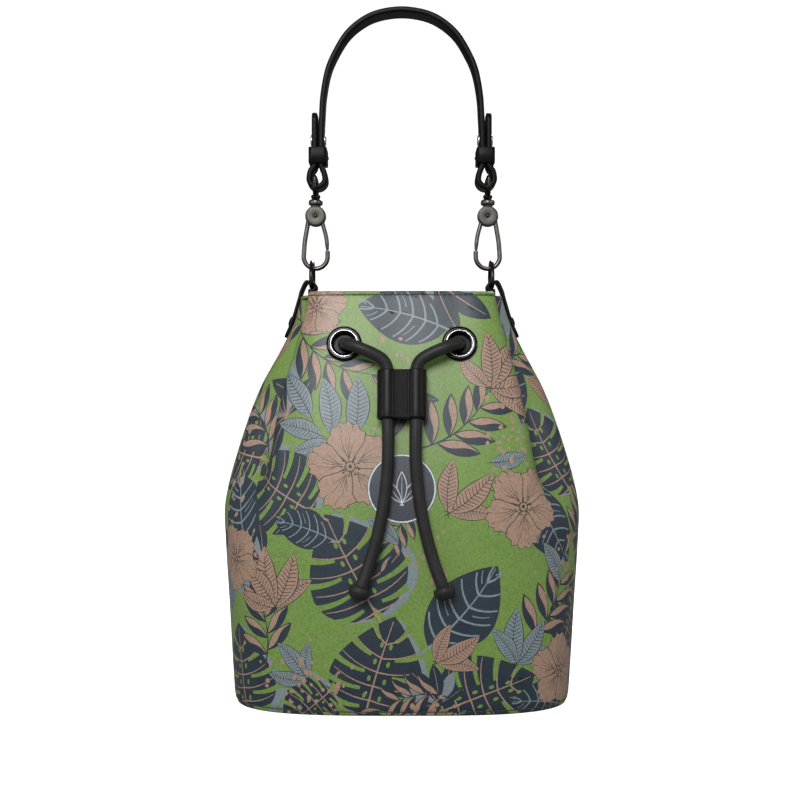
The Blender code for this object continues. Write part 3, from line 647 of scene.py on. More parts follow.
def relief(along, height):
    """Small unevenness of sewn leather, in metres: soft ripples under the drawn mouth, and a tucked bottom edge."""
    upper = np.clip((height / RIM - 0.55) / 0.45, 0, 1)
    ripple = (0.55 * np.sin(along * 95 + 2.2 * np.sin(height * 21)) + 0.35 * np.sin(along * 171 + 1 + height * 18))
    slack = 0.35 * np.sin(height * 31 + along * 12) * np.sin(along * 19 + 0.6)
    pull = 0.9 * np.exp(-((np.abs(along) - 0.0375) / 0.009) ** 2) * np.clip((height - 0.185) / 0.05, 0, 1)
    made = 0.001 * (upper * 0.55 * ripple + 0.4 * slack - upper * pull * 0.6)
    made *= 1 - np.exp(-(((np.abs(along) - 0.0377) ** 2 + (height - 0.240) ** 2) / 0.016 ** 2) ** 2)
    return made - 0.0016 * np.clip(1 - height / 0.007, 0, 1) ** 2 - 0.0004


def wall(along, height, way=-1, inset=0.0, smooth=False):
    """Points of a panel's outer face, way -1 for the front and 1 for the back."""
    angle = angle_at(along, height)
    step = 0.4
    x, y = plan_at(height, angle - 90)
    before, after = plan_at(height, angle - 90 - step), plan_at(height, angle - 90 + step)
    east, north = after[0] - before[0], after[1] - before[1]
    size = np.hypot(east, north)
    out = np.stack([north / size, -east / size], axis=1)
    shift = (0 if smooth else relief(along, height)) - inset
    points = np.stack([x + out[:, 0] * shift, y + out[:, 1] * shift, height], axis=1)
    points[:, 0] *= -way
    points[:, 1] *= -way
    return points


print("seam to seam at the widest:", round(2 * float(ARC[:, -1].max()), 3), "m")

# %% [markdown]
# ## Drawing the print
# Each motif is a list of (ink, outline) in a unit square, where an outline is an array of complex numbers: adding
# moves it and multiplying turns and scales it. Later outlines lie over earlier ones, as in screen printing.

# %% Inks
INKS = {
    "ground": (0.165, 0.285, 0.052),
    "navy": (0.008, 0.022, 0.040),
    "sky": (0.205, 0.265, 0.290),
    "peach": (0.380, 0.243, 0.170),
    "line": (0.020, 0.014, 0.022),
    "raw": (0.030, 0.045, 0.020),
    "badge": (0.034, 0.043, 0.062),
    "white": (0.72, 0.76, 0.80),
}


def placed(motif, at, size, turn):
    """A motif moved onto the leather, turned by degrees anticlockwise."""
    spin = size * np.exp(1j * math.radians(turn))
    return [(ink, complex(*at) + outline * spin) for ink, outline in motif]


def blade(width, peak=0.42, bend=0.0, points=11, half=0):
    """A leaf's outline from 0 to 1j. half of -1 or 1 gives one side of it."""
    t = np.linspace(0, 1, points + 1)
    warped = t ** (math.log(0.5) / math.log(peak))
    side = width * np.sin(math.pi * warped) ** 0.85
    mid = bend * np.sin(math.pi * t) + 1j * t
    left, right = mid - side * (half <= 0), mid + side * (half >= 0)
    return np.concatenate([left, right[-2:0:-1]])


def stroke(route, width, taper=0.35):
    """A line with a body, thinner at its far end."""
    route = np.asarray(route, complex)
    along = np.gradient(route)
    across = 1j * along / np.abs(along)
    body = width / 2 * np.linspace(1, taper, len(route))
    return np.concatenate([route + across * body, (route - across * body)[::-1]])


def curl(start, end, bow, points=5):
    """A gentle arc from start to end."""
    t = np.linspace(0, 1, points)
    return start + (end - start) * t + 1j * (end - start) * bow * 4 * t * (1 - t)


def half_width(width, peak, t):
    return width * math.sin(math.pi * t ** (math.log(0.5) / math.log(peak))) ** 0.85


def disc(at, radius, points=10, squash=1.0):
    turn = np.exp(1j * np.linspace(0, math.tau, points, endpoint=False))
    return at + radius * (turn.real + 1j * squash * turn.imag)


# %% Leaves
def broad_leaf(width=0.32, veins=6, bend=0.05):
    """A whole leaf with pale side veins that run out to its margin."""
    made = [("navy", blade(width, 0.45, bend, 16)), ("sky", stroke(curl(-0.12j, 0.97j, -bend, 9), 0.024))]
    for k in range(veins):
        t = 0.10 + 0.72 * k / (veins - 1)
        start = bend * math.sin(math.pi * t) + 1j * t
        for way in (-1, 1):
            reach = 0.86 * half_width(width, 0.45, min(t + 0.13, 0.97))
            made.append(("sky", stroke(curl(start, start + way * reach + 0.15j, -0.08 * way), 0.022, 0.7)))
            if (k + way) % 3 == 0:
                short = curl(start + way * 0.30 * reach + 0.10j, start + way * 0.8 * reach + 0.20j, -0.06 * way)
                made.append(("sky", stroke(short, 0.012, 0.6)))
    return made


def split_leaf(width=0.44, cuts=5, shadow=0.07):
    """A split leaf: deep cuts between its ribs, and a pale copy of it behind."""
    body = blade(width, 0.36, 0.0, 18)
    made = [("sky", body * 1.02 + shadow - 0.6j * shadow), ("navy", body),
            ("ground", stroke([-0.09j, 0.02j, 0.09j], 0.14, 0.05))]
    for way in (-1, 1):
        for k in range(cuts):
            t = 0.10 + 0.66 * k / (cuts - 1)
            lean = 0.02 + 0.20 * k / cuts
            edge = way * 1.12 * half_width(width, 0.36, min(t + lean * 0.6, 0.98)) + 1j * (t + lean)
            inner = way * 0.30 * half_width(width, 0.36, t) + 1j * (t + 0.01)
            made.append(("ground", stroke(curl(edge, inner, 0.07 * way, 6), 0.058, 0.55)))
            if k:
                eye = way * (0.17 * half_width(width, 0.36, t)) + 1j * (t - 0.045)
                made.append(("ground", disc(eye, 0.017, 8, 1.7)))
    made.append(("peach", stroke(curl(-0.17j, 0.95j, 0.015, 9), 0.022)))
    for way in (-1, 1):
        for k in range(cuts + 1):
            t = 0.05 + 0.68 * k / cuts
            tip = way * 0.93 * half_width(width, 0.36, min(t + 0.07, 0.97)) + 1j * (t + 0.02 + 0.15 * k / cuts)
            made.append(("peach", stroke(curl(1j * t, tip, -0.07 * way, 6), 0.015, 0.4)))
    return made


def ribbed_leaf(ink="peach", width=0.19, ribs=12, bend=0.05):
    """A slender leaf drawn in line: outline, midrib and close ribs."""
    made = [("line", blade(width + 0.016, 0.46, bend, 12) * 1.012 - 0.006j), (ink, blade(width, 0.46, bend, 12)),
            ("line", stroke(curl(-0.10j, 0.96j, -bend, 7), 0.018))]
    for k in range(ribs):
        t = 0.09 + 0.76 * k / (ribs - 1)
        start = bend * math.sin(math.pi * t) + 1j * t
        for way in (-1, 1):
            reach = 0.84 * half_width(width, 0.46, min(t + 0.06, 0.97))
            made.append(("line", stroke([start, start + way * reach + 0.075j], 0.014, 0.7)))
    return made


def cluster(ink, spread, lengths):
    """Ribbed leaves that fan out from one stalk."""
    made = []
    for k, length in enumerate(lengths):
        turn = spread * (k / (len(lengths) - 1) - 0.5)
        made += placed(ribbed_leaf(ink, 0.185, 12, 0.06 if k % 2 else -0.06), (0, 0), length, turn)
    return made


def sprig(pairs=4, bend=0.14):
    """A stalk with paired leaflets, each half dark and half pale along a wavy middle."""
    stalk = curl(0, 1j, -bend, 12)
    made = [("navy", stroke(stalk, 0.018))]
    t = np.linspace(0, 1, 12)
    middle = 0.05 * np.sin(math.tau * t) + 1j * t
    whole = blade(0.17, 0.5, 0.0, 11)
    for k in range(2 * pairs + 1):
        way = 0 if k == 2 * pairs else (-1, 1)[k % 2]
        up = 0.14 + 0.72 * (k // 2) / pairs + (0.05 if way > 0 else 0)
        foot = (np.interp(up, t, stalk.real), up) if way else (stalk[-1].real, stalk[-1].imag)
        half = np.concatenate([middle, whole[:12][::-1] if way > 0 else whole[11:]])
        leaflet = [("line", whole * 1.04 - 0.02j), ("navy", whole), ("peach", half * 0.92 + 0.04j)]
        made += placed(leaflet, foot, 0.46 * (1 - 0.30 * up), -way * (56 - 20 * up) - 4)
    return made


def fan_leaf(lobes=7, spread=190):
    """Long lobes that fan from one stalk, dark and pale by turns, each with a peach vein."""
    made = []
    for k in range(lobes):
        turn = spread * (k / (lobes - 1) - 0.5)
        lobe = [("sky" if k % 3 == 1 else "navy", blade(0.17, 0.58, 0.03, 12)),
                ("peach", stroke(curl(0, 0.9j, -0.03, 7), 0.022, 0.5))]
        made += placed(lobe, (0, 0), 1 - 0.35 * abs(turn) / spread * 2, turn)
    return made


# %% Flowers and dots
def hibiscus():
    """Five ragged petals round a small eye, with dark creases and long stamens."""
    made = []
    for k in range(5):
        turn = np.exp(1j * (math.tau * k / 5 + 0.3))
        swing = np.radians([-20, -37, -40, -34, -24, -20, -12, -7, 0, 6, 13, 18, 25, 34, 41, 37, 20])
        reach = np.array([0.10, 0.42, 0.66, 0.84, 0.86, 0.98, 0.93, 1.04, 0.97, 1.03, 0.92, 0.97, 0.84, 0.80, 0.62,
                          0.40, 0.10]) * (1 + 0.04 * math.sin(3 * k))
        petal = reach * np.exp(1j * swing * (0.98 + 0.06 * math.cos(2 * k))) * turn
        middle = petal.mean()
        made += [("line", middle + (petal - middle) * 1.045), ("peach", petal)]
        creases = [(start, 0.5 * swerve, end, swerve, 0.05, 0.017, 0.3) for swerve, start, end in (
            (-0.34, 0.30, 0.62), (-0.17, 0.20, 0.78), (0.0, 0.24, 0.66), (0.15, 0.20, 0.80), (0.32, 0.32, 0.60))]
        creases += [(0.95, swerve, 0.80, 0.9 * swerve, 0.1, 0.016, 0.5) for swerve in (-0.21, 0.11, 0.44)]
        for start, start_turn, end, end_turn, bow, size, taper in creases:
            line = curl(start * turn * np.exp(1j * start_turn), end * turn * np.exp(1j * end_turn), bow)
            made.append(("line", stroke(line, size, taper)))
    made += [("line", disc(0, 0.125, 12)), ("peach", disc(0, 0.105, 12)), ("line", disc(0, 0.045, 8))]
    for k in range(9):
        tip = 0.21 * np.exp(1j * (math.tau * k / 9 + 0.2))
        made += [("line", stroke(curl(0.4 * tip, tip, 0.05, 4), 0.018, 0.8)), ("line", disc(tip, 0.024, 7))]
    return made


def confetti(count, spread, seed):
    """Small dabs scattered round a place, over spread in millimetres."""
    pick = np.random.default_rng(seed)
    made = []
    for _ in range(count):
        at = complex(pick.normal(0, spread[0] / 1000 / 2), pick.normal(0, spread[1] / 1000 / 2))
        size = pick.uniform(0.0008, 0.0018)
        made.append(("peach", disc(at, size, 8, pick.uniform(0.6, 1.5))))
    return made


def badge():
    """A plain round mark with a thin ring and a leaf of the maker's own drawing."""
    made = [("badge", disc(0, 1, 72)), ("white", disc(0, 0.985, 72)), ("badge", disc(0, 0.945, 72))]
    for turn in (-38, 0, 38):
        made += placed([("white", blade(0.17, 0.5, 0, 12)), ("badge", blade(0.155, 0.5, 0, 12) * 0.93 + 0.03j),
                        ("white", stroke([-0.1j, 0.4j, 0.86j], 0.022))], (0, -0.42), 0.92, turn)
    return made


# %% [markdown]
# ## Laying out the print
# Places are in millimetres on the flat panel: along it from its middle, and up from the base. The back panel uses
# the same motifs turned round, as a second cut from the same hide would.

# %% The layout
def layout():
    """(motif, centre in mm, scale, turn in degrees), from the lowest layer to the highest."""
    rows = []

    def add(motif, *places, foot=0.5j):
        moved = [(ink, outline - foot) for ink, outline in motif]
        rows.extend((moved, at, size / 1000, turn) for at, size, turn in places)

    add(split_leaf(),
        ((-32, 98), 74, 28), ((-14, 32), 70, -16), ((56, 14), 68, -70), ((-84, 148), 64, 60), ((-112, 25), 64, 10),
        ((128, 60), 62, -35), ((120, 170), 60, 20), ((150, 110), 60, 60), ((-150, 90), 62, -30),
        ((-140, 170), 60, 80), ((150, 235), 60, 10), ((-62, 4), 44, 130))
    add(fan_leaf(),
        ((40, 270), 46, -125), ((-96, 205), 48, 60), ((0, 194), 30, 160), ((96, 262), 40, 150),
        ((-112, 96), 40, 100), ((14, 20), 30, 40), ((-142, 250), 44, -160))
    add(broad_leaf(),
        ((0, 257), 60, 74), ((39, 72), 68, -42), ((92, 213), 56, -28), ((104, 122), 58, -150),
        ((-117, 128), 58, 24), ((-64, 120), 40, 72), ((92, 5), 44, 80), ((-148, 228), 52, -40), ((142, 20), 56, 40))
    add(sprig(),
        ((-46, 238), 64, -124), ((34, 194), 66, -48), ((96, 74), 62, -30), ((-98, 58), 58, 14), ((10, 8), 46, 100),
        ((112, 244), 56, -60), ((-126, 186), 56, 40), ((4, 122), 40, 150), ((-118, 256), 50, 80),
        ((134, 132), 50, -20))
    for ink, at, sizes, spread, turn in (
            ("peach", (57, 212), (34, 38, 40, 36, 28), 170, -40),
            ("peach", (-84, 70), (32, 38, 40, 36, 30), 130, 10), ("peach", (30, 132), (30, 38, 34), 90, -50),
            ("sky", (74, 34), (28, 34, 36, 28), 110, -20), ("peach", (-124, 228), (28, 34, 30), 90, 10),
            ("peach", (132, 200), (30, 36, 32, 28), 110, -10), ("sky", (-128, 66), (26, 32, 28), 90, 20),
            ("peach", (22, 36), (28, 32, 26), 80, -60), ("sky", (-62, 24), (24, 30, 26), 90, 40)):
        rows.append((cluster(ink, spread, [size / 1000 for size in sizes]), at, 1, turn))
    add(ribbed_leaf("sky"),
        ((-69, 207), 36, 34), ((-48, 200), 36, 8), ((-30, 200), 38, -4), ((-66, 184), 32, 74), ((-56, 172), 28, 96),
        ((-12, 120), 26, 50), ((70, 166), 26, -80), ((102, 98), 30, 30))
    for at, spread, count, seed in (
            ((74, 176), (22, 34), 46, 3), ((-60, 18), (36, 28), 50, 4), ((-6, 222), (14, 26), 20, 5),
            ((18, 100), (16, 22), 22, 6), ((-100, 105), (24, 20), 30, 7), ((118, 95), (26, 26), 30, 8),
            ((-128, 145), (20, 30), 26, 9), ((24, 4), (26, 12), 20, 10), ((-14, 180), (10, 26), 12, 11)):
        rows.append((confetti(count, spread, seed), at, 1, 0))
    add(hibiscus(),
        ((-33, 161), 28, 10), ((79, 135), 26, 40), ((109, 26), 24, 70), ((-56, 265), 20, 0), ((-118, 100), 22, 30),
        ((134, 262), 22, 15), foot=0)
    return rows


# %% A panel with its print
def along_at(x, height):
    """Arc length at which the wall reaches this x."""
    reach = np.linspace(0, float(seam_at(height)), 400)
    return float(np.interp(x, wall(reach, np.full(400, height), smooth=True)[:, 0], reach))


EYELET_X, EYELET_HEIGHT, EYELET_HOLE = 0.0375, 0.240, 0.0082
EYELET_ALONG = along_at(EYELET_X, EYELET_HEIGHT)
ROWS = np.concatenate([[0.0004, 0.0012, 0.0022, 0.0030, 0.0040, 0.0055, 0.0072], np.arange(0.0102, 0.2700, 0.0031),
                       [0.2712, 0.2719, 0.2724, 0.2729, 0.2738, 0.2745, RIM]])


def hem(height):
    """A turned edge at the mouth: proud above its seam, with a groove along the stitches."""
    proud, rolled = (np.clip((height - low) / 0.0012, 0, 1) for low in (0.2716, 0.2738))
    groove, base_seam = (np.exp(-((height - at) / wide) ** 2) for at, wide in ((0.2724, 0.0005), (0.0030, 0.0007)))
    return 0.00035 * proud - 0.0005 * groove - 0.0009 * rolled ** 2 - 0.0003 * base_seam


def panel_drawing(turned):
    """The panel's outlines in ink order: its edge, the eyelet holes, then every motif."""
    top, foot = np.linspace(-1, 1, 110)[1:-1], np.linspace(1, -1, 130)[1:-1]
    edge = np.concatenate([ROWS * 1j - seam_at(ROWS) + 0.0002, top * (seam_at(RIM) - 0.0002) + RIM * 1j,
                           (ROWS * 1j + seam_at(ROWS) - 0.0002)[::-1], foot * (seam_at(0) - 0.0002) + ROWS[0] * 1j])
    made = [("edge", edge)] + [("hole", disc(way * EYELET_ALONG + EYELET_HEIGHT * 1j, EYELET_HOLE, 48))
                               for way in (-1, 1)]
    for motif, at, size, turn in layout():
        at = np.array(at, float)
        if turned:
            at, turn = np.array([-at[0] + 14, 268 - at[1]]), turn + 180
        made += placed(motif, at / 1000, size, turn)
    for low, high in ((0.2719, 0.2726), (0.0026, 0.0033)):
        reach = seam_at(np.array([low, high])) + 0.001
        made.append(("raw", np.array([-reach[0] + 1j * low, reach[0] + 1j * low, reach[1] + 1j * high,
                                      -reach[1] + 1j * high])))
    if not turned:
        made += placed(badge(), (0, 0.147), 0.022, 0)
    return made


def with_returns(solid, flat, kept, inks, way):
    """Turns every raw edge of a panel inwards by the leather's thickness."""
    used = dict.fromkeys(pair for face in kept for pair in zip(face, face[1:] + face[:1]))
    raw = [pair for pair in used if pair[::-1] not in used]
    ends = sorted({v for pair in raw for v in pair})
    twin = {v: len(solid) + k for k, v in enumerate(ends)}
    along, height = flat[ends].T
    inner = solid[ends] + (wall(along, height, way, LEATHER) - wall(along, height, way))
    for a, b in raw:
        kept += [[b, a, twin[a]], [b, twin[a], twin[b]]]
        inks += [INKS["raw"]] * 2
    return np.concatenate([solid, inner]), np.concatenate([flat, flat[ends]]), kept, inks


def print_panel(name, way):
    drawing = panel_drawing(way == 1)
    points, faces = [], []
    for _, outline in drawing:
        clockwise = (outline.conj() * np.roll(outline, -1)).imag.sum() < 0
        faces.append(list(range(len(points), len(points) + len(outline))))
        points += [(z.real, z.imag) for z in (outline[::-1] if clockwise else outline)]
    for index, height in enumerate(ROWS[1:-1]):
        reach = float(seam_at(height)) - 0.0015
        count = int(2 * reach / 0.0032)
        across = np.linspace(-reach, reach, count + index % 2)
        points += [(s, float(height)) for s in across]
    points = [Vector(point) for point in points]
    spots, _, triangles, _, _, origin = geometry.delaunay_2d_cdt(points, [], faces, 0, 1e-5, True)
    kept, inks = [], []
    for triangle, came_from in zip(triangles, origin):
        if 0 not in came_from or 1 in came_from or 2 in came_from:
            continue
        kept.append(list(triangle))
        top = max(came_from)
        inks.append(INKS[drawing[top][0]] if top > 2 else INKS["ground"])
    flat = np.array([(spot.x, spot.y) for spot in spots])
    solid = wall(flat[:, 0], flat[:, 1], way)
    lifted = wall(flat[:, 0], flat[:, 1], way, -0.001) - solid
    solid += lifted * (hem(flat[:, 1]) / 0.001)[:, None]
    solid, flat, kept, inks = with_returns(solid, flat, kept, inks, way)
    mesh = bpy.data.meshes.new(name)
    mesh.from_pydata([tuple(p) for p in solid], [], kept)
    loops = np.empty(len(mesh.loops), np.int32)
    mesh.loops.foreach_get("vertex_index", loops)
    uv = mesh.uv_layers.new(name="flat")
    uv.data.foreach_set("uv", flat[loops].astype(np.float32).ravel())
    colour = mesh.color_attributes.new("print", "FLOAT_COLOR", "CORNER")
    shades = np.repeat(np.column_stack([np.array(inks), np.ones(len(inks))]), 3, axis=0)
    colour.data.foreach_set("color", shades.astype(np.float32).ravel())
    panel = bpy.data.objects.new(name, mesh)
    bpy.context.collection.objects.link(panel)
    edit(panel, lambda: bpy.ops.mesh.delete_loose())
    panel.data.shade_smooth()
    PRINTED_LEATHER.cover(panel)
    print(name, len(mesh.polygons), "faces", len(drawing), "outlines")
    return panel


# %% The two walls
front_wall, back_wall = print_panel("front_wall", -1), print_panel("back_wall", 1)
settle(front_wall, "bag", "front_panel")
settle(back_wall, "bag", "back_panel")

# %% [markdown]
# ## Mouth band, lining and base
# A dark leather band stiffens the mouth on its inner side, a woven cup lines the rest, and the base is one plate with
# a rolled edge. Each is a stack of level rings, because the walls' formula gives a ring at any height.

# %% Rings of the bag's form
def level_ring(height, inset, count=144):
    """A ring of points round the bag, inset from the outer face."""
    angle = np.linspace(0, 360, count, endpoint=False)
    x, y = plan_at(np.full(count, height), angle)
    (x0, y0), (x1, y1) = (plan_at(np.full(count, height), angle + step) for step in (-0.5, 0.5))
    size = np.hypot(x1 - x0, y1 - y0)
    return np.stack([x - (y1 - y0) / size * inset, y + (x1 - x0) / size * inset, np.full(count, height)], axis=1)


def stack(name, rings, floor=False):
    """Joins rings into a skin, and closes it below with rings that shrink to the middle."""
    rings = list(rings)
    around = len(rings[0])
    if floor:
        base = rings[0]
        middle = np.array([0, 0, base[0][2]])
        rings = [middle + (base - middle) * share for share in (0.1, 0.25, 0.4, 0.55, 0.7, 0.85, 0.95)] + rings
    faces = ring_faces(len(rings), around)
    if floor:
        faces.append(tuple(range(around))[::-1])
    return mesh_object(name, np.concatenate(rings), faces)


# %% Mouth band
BAND_LOW, BAND_TOP, BAND = 0.217, RIM - 0.0006, 0.0012
band = stack("mouth_band", [level_ring(z, INNER_WALL) for z in np.linspace(BAND_LOW, BAND_TOP, 18)])
modified(band, "SOLIDIFY", thickness=BAND, offset=-1)
modified(band, "BEVEL", width=0.0003, segments=2, angle_limit=math.radians(50))
finish_surface(band, 50)
settle(band, "bag", "mouth_facing", finish=TRIM_LEATHER)

# %% Lining cup
def cup_ring(height):
    """A ring of the lining, which hangs a little slack below the band."""
    ring = level_ring(height, INNER_WALL + 0.0004, 180)
    turn = np.arctan2(ring[:, 1], ring[:, 0])
    slack = 0.0012 * np.sin(turn * 9 + 40 * height) * np.sin(turn * 4 + 1) * np.clip((BAND_LOW - height) / 0.05, 0, 1)
    ring[:, :2] *= 1 - (0.002 + np.abs(slack))[:, None] * 4 * np.clip((height - 0.006) / 0.02, 0, 1)
    return ring


lining = stack("lining_cup", [cup_ring(height) for height in np.linspace(0.0062, BAND_LOW - 0.0004, 34)], floor=True)
modified(lining, "SOLIDIFY", thickness=0.0007, offset=-1)
finish_surface(lining, 60)
flat = lining.data.uv_layers.new(name="flat")
for loop, spot in zip(lining.data.loops, flat.data):
    point = lining.data.vertices[loop.vertex_index].co
    level = point.z > 0.0075
    spot.uv = (0.1 * math.atan2(point.y, point.x), point.z) if level else (point.x, point.y)
settle(lining, "bag", "lining", finish=LINING_CLOTH)

# %% Base
rolled = [(0.0001, 0.0010), (0.0005, 0.0003), (0.0012, 0.0), (0.0020, 0.0002)]
base = stack("base_plate", [level_ring(height, INNER_WALL + inset) for height, inset in rolled], floor=True)
edit(base, lambda: (bpy.ops.mesh.select_all(action="DESELECT"), bpy.ops.mesh.select_non_manifold(),
                    bpy.ops.mesh.fill()))
finish_surface(base, 50)
settle(base, "bag", "base_panel", finish=TRIM_LEATHER)
BOARD.cover(bpy.data.objects["base_board"])
print("body pieces:", band.name, lining.name, base.name)

# %% [markdown]
# ## Stitches
# The rim is turned and sewn and the base is sewn in, each with one row of short stitches. A stitch is modelled once
# as a squashed capsule and repeated along the seam, each one turned to follow the wall.

# %% Rows of stitches
def seam_row(height, way, pitch, length, girth):
    """Points and faces of the stitches of one panel at one height."""
    reach = float(seam_at(height)) - 0.003
    count = int(2 * reach / pitch)
    along = np.linspace(-reach, reach, count)
    level = np.full(count, height)
    spot, ahead = wall(along, level, way), wall(along + 0.0005, level, way)
    lift = wall(along, level, way, -0.0001)
    points, faces = [], []
    for here, on, up in zip(spot, ahead, lift):
        run = (on - here) / np.linalg.norm(on - here)
        out = (up - here) / np.linalg.norm(up - here)
        rise = np.cross(run, out)
        start = len(points)
        for share, size in ((-0.5, 0.35), (-0.36, 0.9), (0.36, 0.9), (0.5, 0.35)):
            for k in range(6):
                turn = math.tau * k / 6
                lift_off = 0.00005 + girth * 0.5 * size * math.cos(turn) - 0.0002
                points.append(here + run * length * share + out * lift_off + rise * girth * 0.5 * size * math.sin(turn))
        faces += ring_faces(4, 6, start=start)
        faces += [tuple(range(start, start + 6))[::-1], tuple(range(start + 18, start + 24))]
    return points, faces


for name, height, pitch in (("rim_stitches", 0.2724, 0.0034), ("base_stitches", 0.0031, 0.0036)):
    rows = []
    for way in (-1, 1):
        points, faces = seam_row(height, way, pitch, 0.0024, 0.0007)
        rows.append(mesh_object(name, points, faces))
    stitches = finish_surface(joined(name, rows), 60)
    settle(stitches, "bag", finish=THREAD)
    print(name, len(stitches.data.polygons), "faces")

# %% [markdown]
# ## Eyelets
# Each eyelet is a flanged tube pressed through wall and band, with a washer clinched inside. Its flange is polished
# round, so it is turned from a profile whose corners are eased.

# %% Where the eyelets sit
def depth_at(x, height, inset=0.0):
    """How far from the middle plane the wall lies at this x."""
    reach = np.linspace(0, float(seam_at(height)), 300)
    skin = wall(reach, np.full(300, height), -1, inset, smooth=True)
    return float(np.interp(x, skin[:, 0], -skin[:, 1]))


def eyelet_seat():
    """Centre, outward direction, and the heights of the wall's outer and inner faces along it, front right."""
    spread = 0.0086

    def skin(x, height, inset=0.0):
        return np.array([x, -depth_at(x, height, inset), height])

    centre = skin(EYELET_X, EYELET_HEIGHT)
    across = skin(EYELET_X + spread, EYELET_HEIGHT) - skin(EYELET_X - spread, EYELET_HEIGHT)
    up = skin(EYELET_X, EYELET_HEIGHT + spread) - skin(EYELET_X, EYELET_HEIGHT - spread)
    out = np.cross(across, up)
    across, up, out = (way / np.linalg.norm(way) for way in (across, up, out))
    proud, sunk = [0.0], []
    for turn in np.linspace(0, math.tau, 16, endpoint=False):
        spot = centre + (across * math.cos(turn) + up * math.sin(turn)) * 0.0108
        proud.append((skin(spot[0], spot[2]) - centre) @ out)
        sunk.append((skin(spot[0], spot[2], INNER_WALL) - centre) @ out - BAND - 0.0001)
    return centre, out, max(proud) + GAP, min(sunk) - GAP


seat, seat_out, seat_top, seat_foot = eyelet_seat()
print("eyelet seat:", np.round(seat, 4), "out", np.round(seat_out, 3))

# %% The four eyelets
BORE, BARREL, FLANGE = 0.0068, 0.0076, 0.0116
lip = seat_foot - 0.0011
round_over = [(FLANGE - 0.0018 + 0.0018 * math.cos(t), seat_top + 0.0001 + 0.0016 * math.sin(t))
              for t in np.linspace(0, math.pi * 0.62, 9)]
throat = [(BORE + 0.0012 - 0.0012 * math.sin(t), seat_top + 0.0003 + 0.0010 * math.cos(t))
          for t in np.linspace(0, math.pi / 2, 6)]
shell = ([(BARREL, lip), (BARREL, seat_top - 0.0006), (FLANGE - 0.0006, seat_top - 0.0005)] + round_over + throat
         + [(BORE, lip - 0.0003), (BORE + 0.0009, lip - 0.0009), (BARREL + 0.0009, lip - 0.0006),
            (BARREL + 0.0008, lip), (BARREL, lip)])
washer = eased([(BARREL + GAP, lip + GAP), (FLANGE - 0.0006, lip + GAP), (FLANGE - 0.0006, seat_foot - 0.0001),
                (BARREL + GAP, seat_foot - 0.0001), (BARREL + GAP, lip + GAP)], 0.0003)
# Painted highlight: a thin bright metal ring laid on each flange's crest stands in for the light that the black flange
# reflects there.
line = [(0.0087 + 0.0004 * math.cos(t), seat_top + 0.00138 + 0.0004 * math.sin(t))
        for t in np.linspace(0, math.tau, 13)]
crest = lathe("crest", line, seat_out, seat, 72, None)
front_right = {"eyelet": lathe("eyelet_ring", shell, seat_out, seat, 64, 50),
               "eyelet_washer": lathe("washer_ring", washer, seat_out, seat, 64, 50)}
for kind, first in front_right.items():
    for face in ("front", "back"):
        for side in ("left", "right"):
            round_behind = face == "back"
            place = {"mirrored": (side == "left") != round_behind, "turned": round_behind}
            ring = copied(first, f"{first.name}_{face}_{side}", **place)
            settle(ring, "bag", f"{kind}_{face}_{side}", finish=EYELET_METAL)
            if kind == "eyelet":
                settle(copied(crest, f"eyelet_crest_{face}_{side}", **place), "bag", finish=BRIGHT_METAL_AND_HIGHLIGHT)
    bpy.data.objects.remove(first)
bpy.data.objects.remove(crest)

# %% [markdown]
# ## The drawstring
# One round leather cord runs inside the mouth through all four eyelets and comes out in front as two tails. A slider
# grips both, and each tail ends in a turned knob. The cords are swept along smooth routes.

# %% Cord
TAIL = [(0.0375, -0.0610, 0.2402), (0.0372, -0.0690, 0.2401), (0.0335, -0.0757, 0.2394), (0.0262, -0.0784, 0.2365),
        (0.0182, -0.0784, 0.2330), (0.0120, -0.0781, 0.2290), (0.0094, -0.0782, 0.2236), (0.0092, -0.0792, 0.2160),
        (0.0092, -0.0825, 0.1980), (0.0090, -0.0839, 0.1900), (0.0087, -0.0855, 0.1790), (0.0088, -0.0864, 0.1660),
        (0.0098, -0.0870, 0.1510), (0.0114, -0.0876, 0.1380), (0.0140, -0.0881, 0.1240), (0.0174, -0.0887, 0.1100),
        (0.0215, -0.0898, 0.0970), (0.0256, -0.0912, 0.0860)]
INNER_RUN = [(0.0375, -0.0600, 0.2402), (0.0382, -0.0530, 0.2400), (0.0420, -0.0440, 0.2392), (0.0462, -0.0320, 0.2380),
             (0.0480, -0.0160, 0.2372), (0.0482, 0.0, 0.2370), (0.0480, 0.0160, 0.2372), (0.0462, 0.0320, 0.2380),
             (0.0420, 0.0440, 0.2392), (0.0382, 0.0530, 0.2400), (0.0371, 0.0640, 0.2401), (0.0340, 0.0740, 0.2395),
             (0.0262, 0.0785, 0.2380), (0.0130, 0.0798, 0.2372), (0.0, 0.0800, 0.2370)]
CORD = 0.008


def flipped(points, side):
    return [(side * x, y, z) for x, y, z in points]


def cord(name, route):
    """A round cord with slight unevenness, as stitched leather round a core has."""
    path = curve_through(route, 0.0016)
    wobble = 1 + 0.008 * np.sin(np.arange(len(path)) * 0.9) * np.sin(np.arange(len(path)) * 0.23)
    return finish_surface(sweep(name, path, ring_of(CORD / 2, 24), None, False, wobble, wobble), 60), path


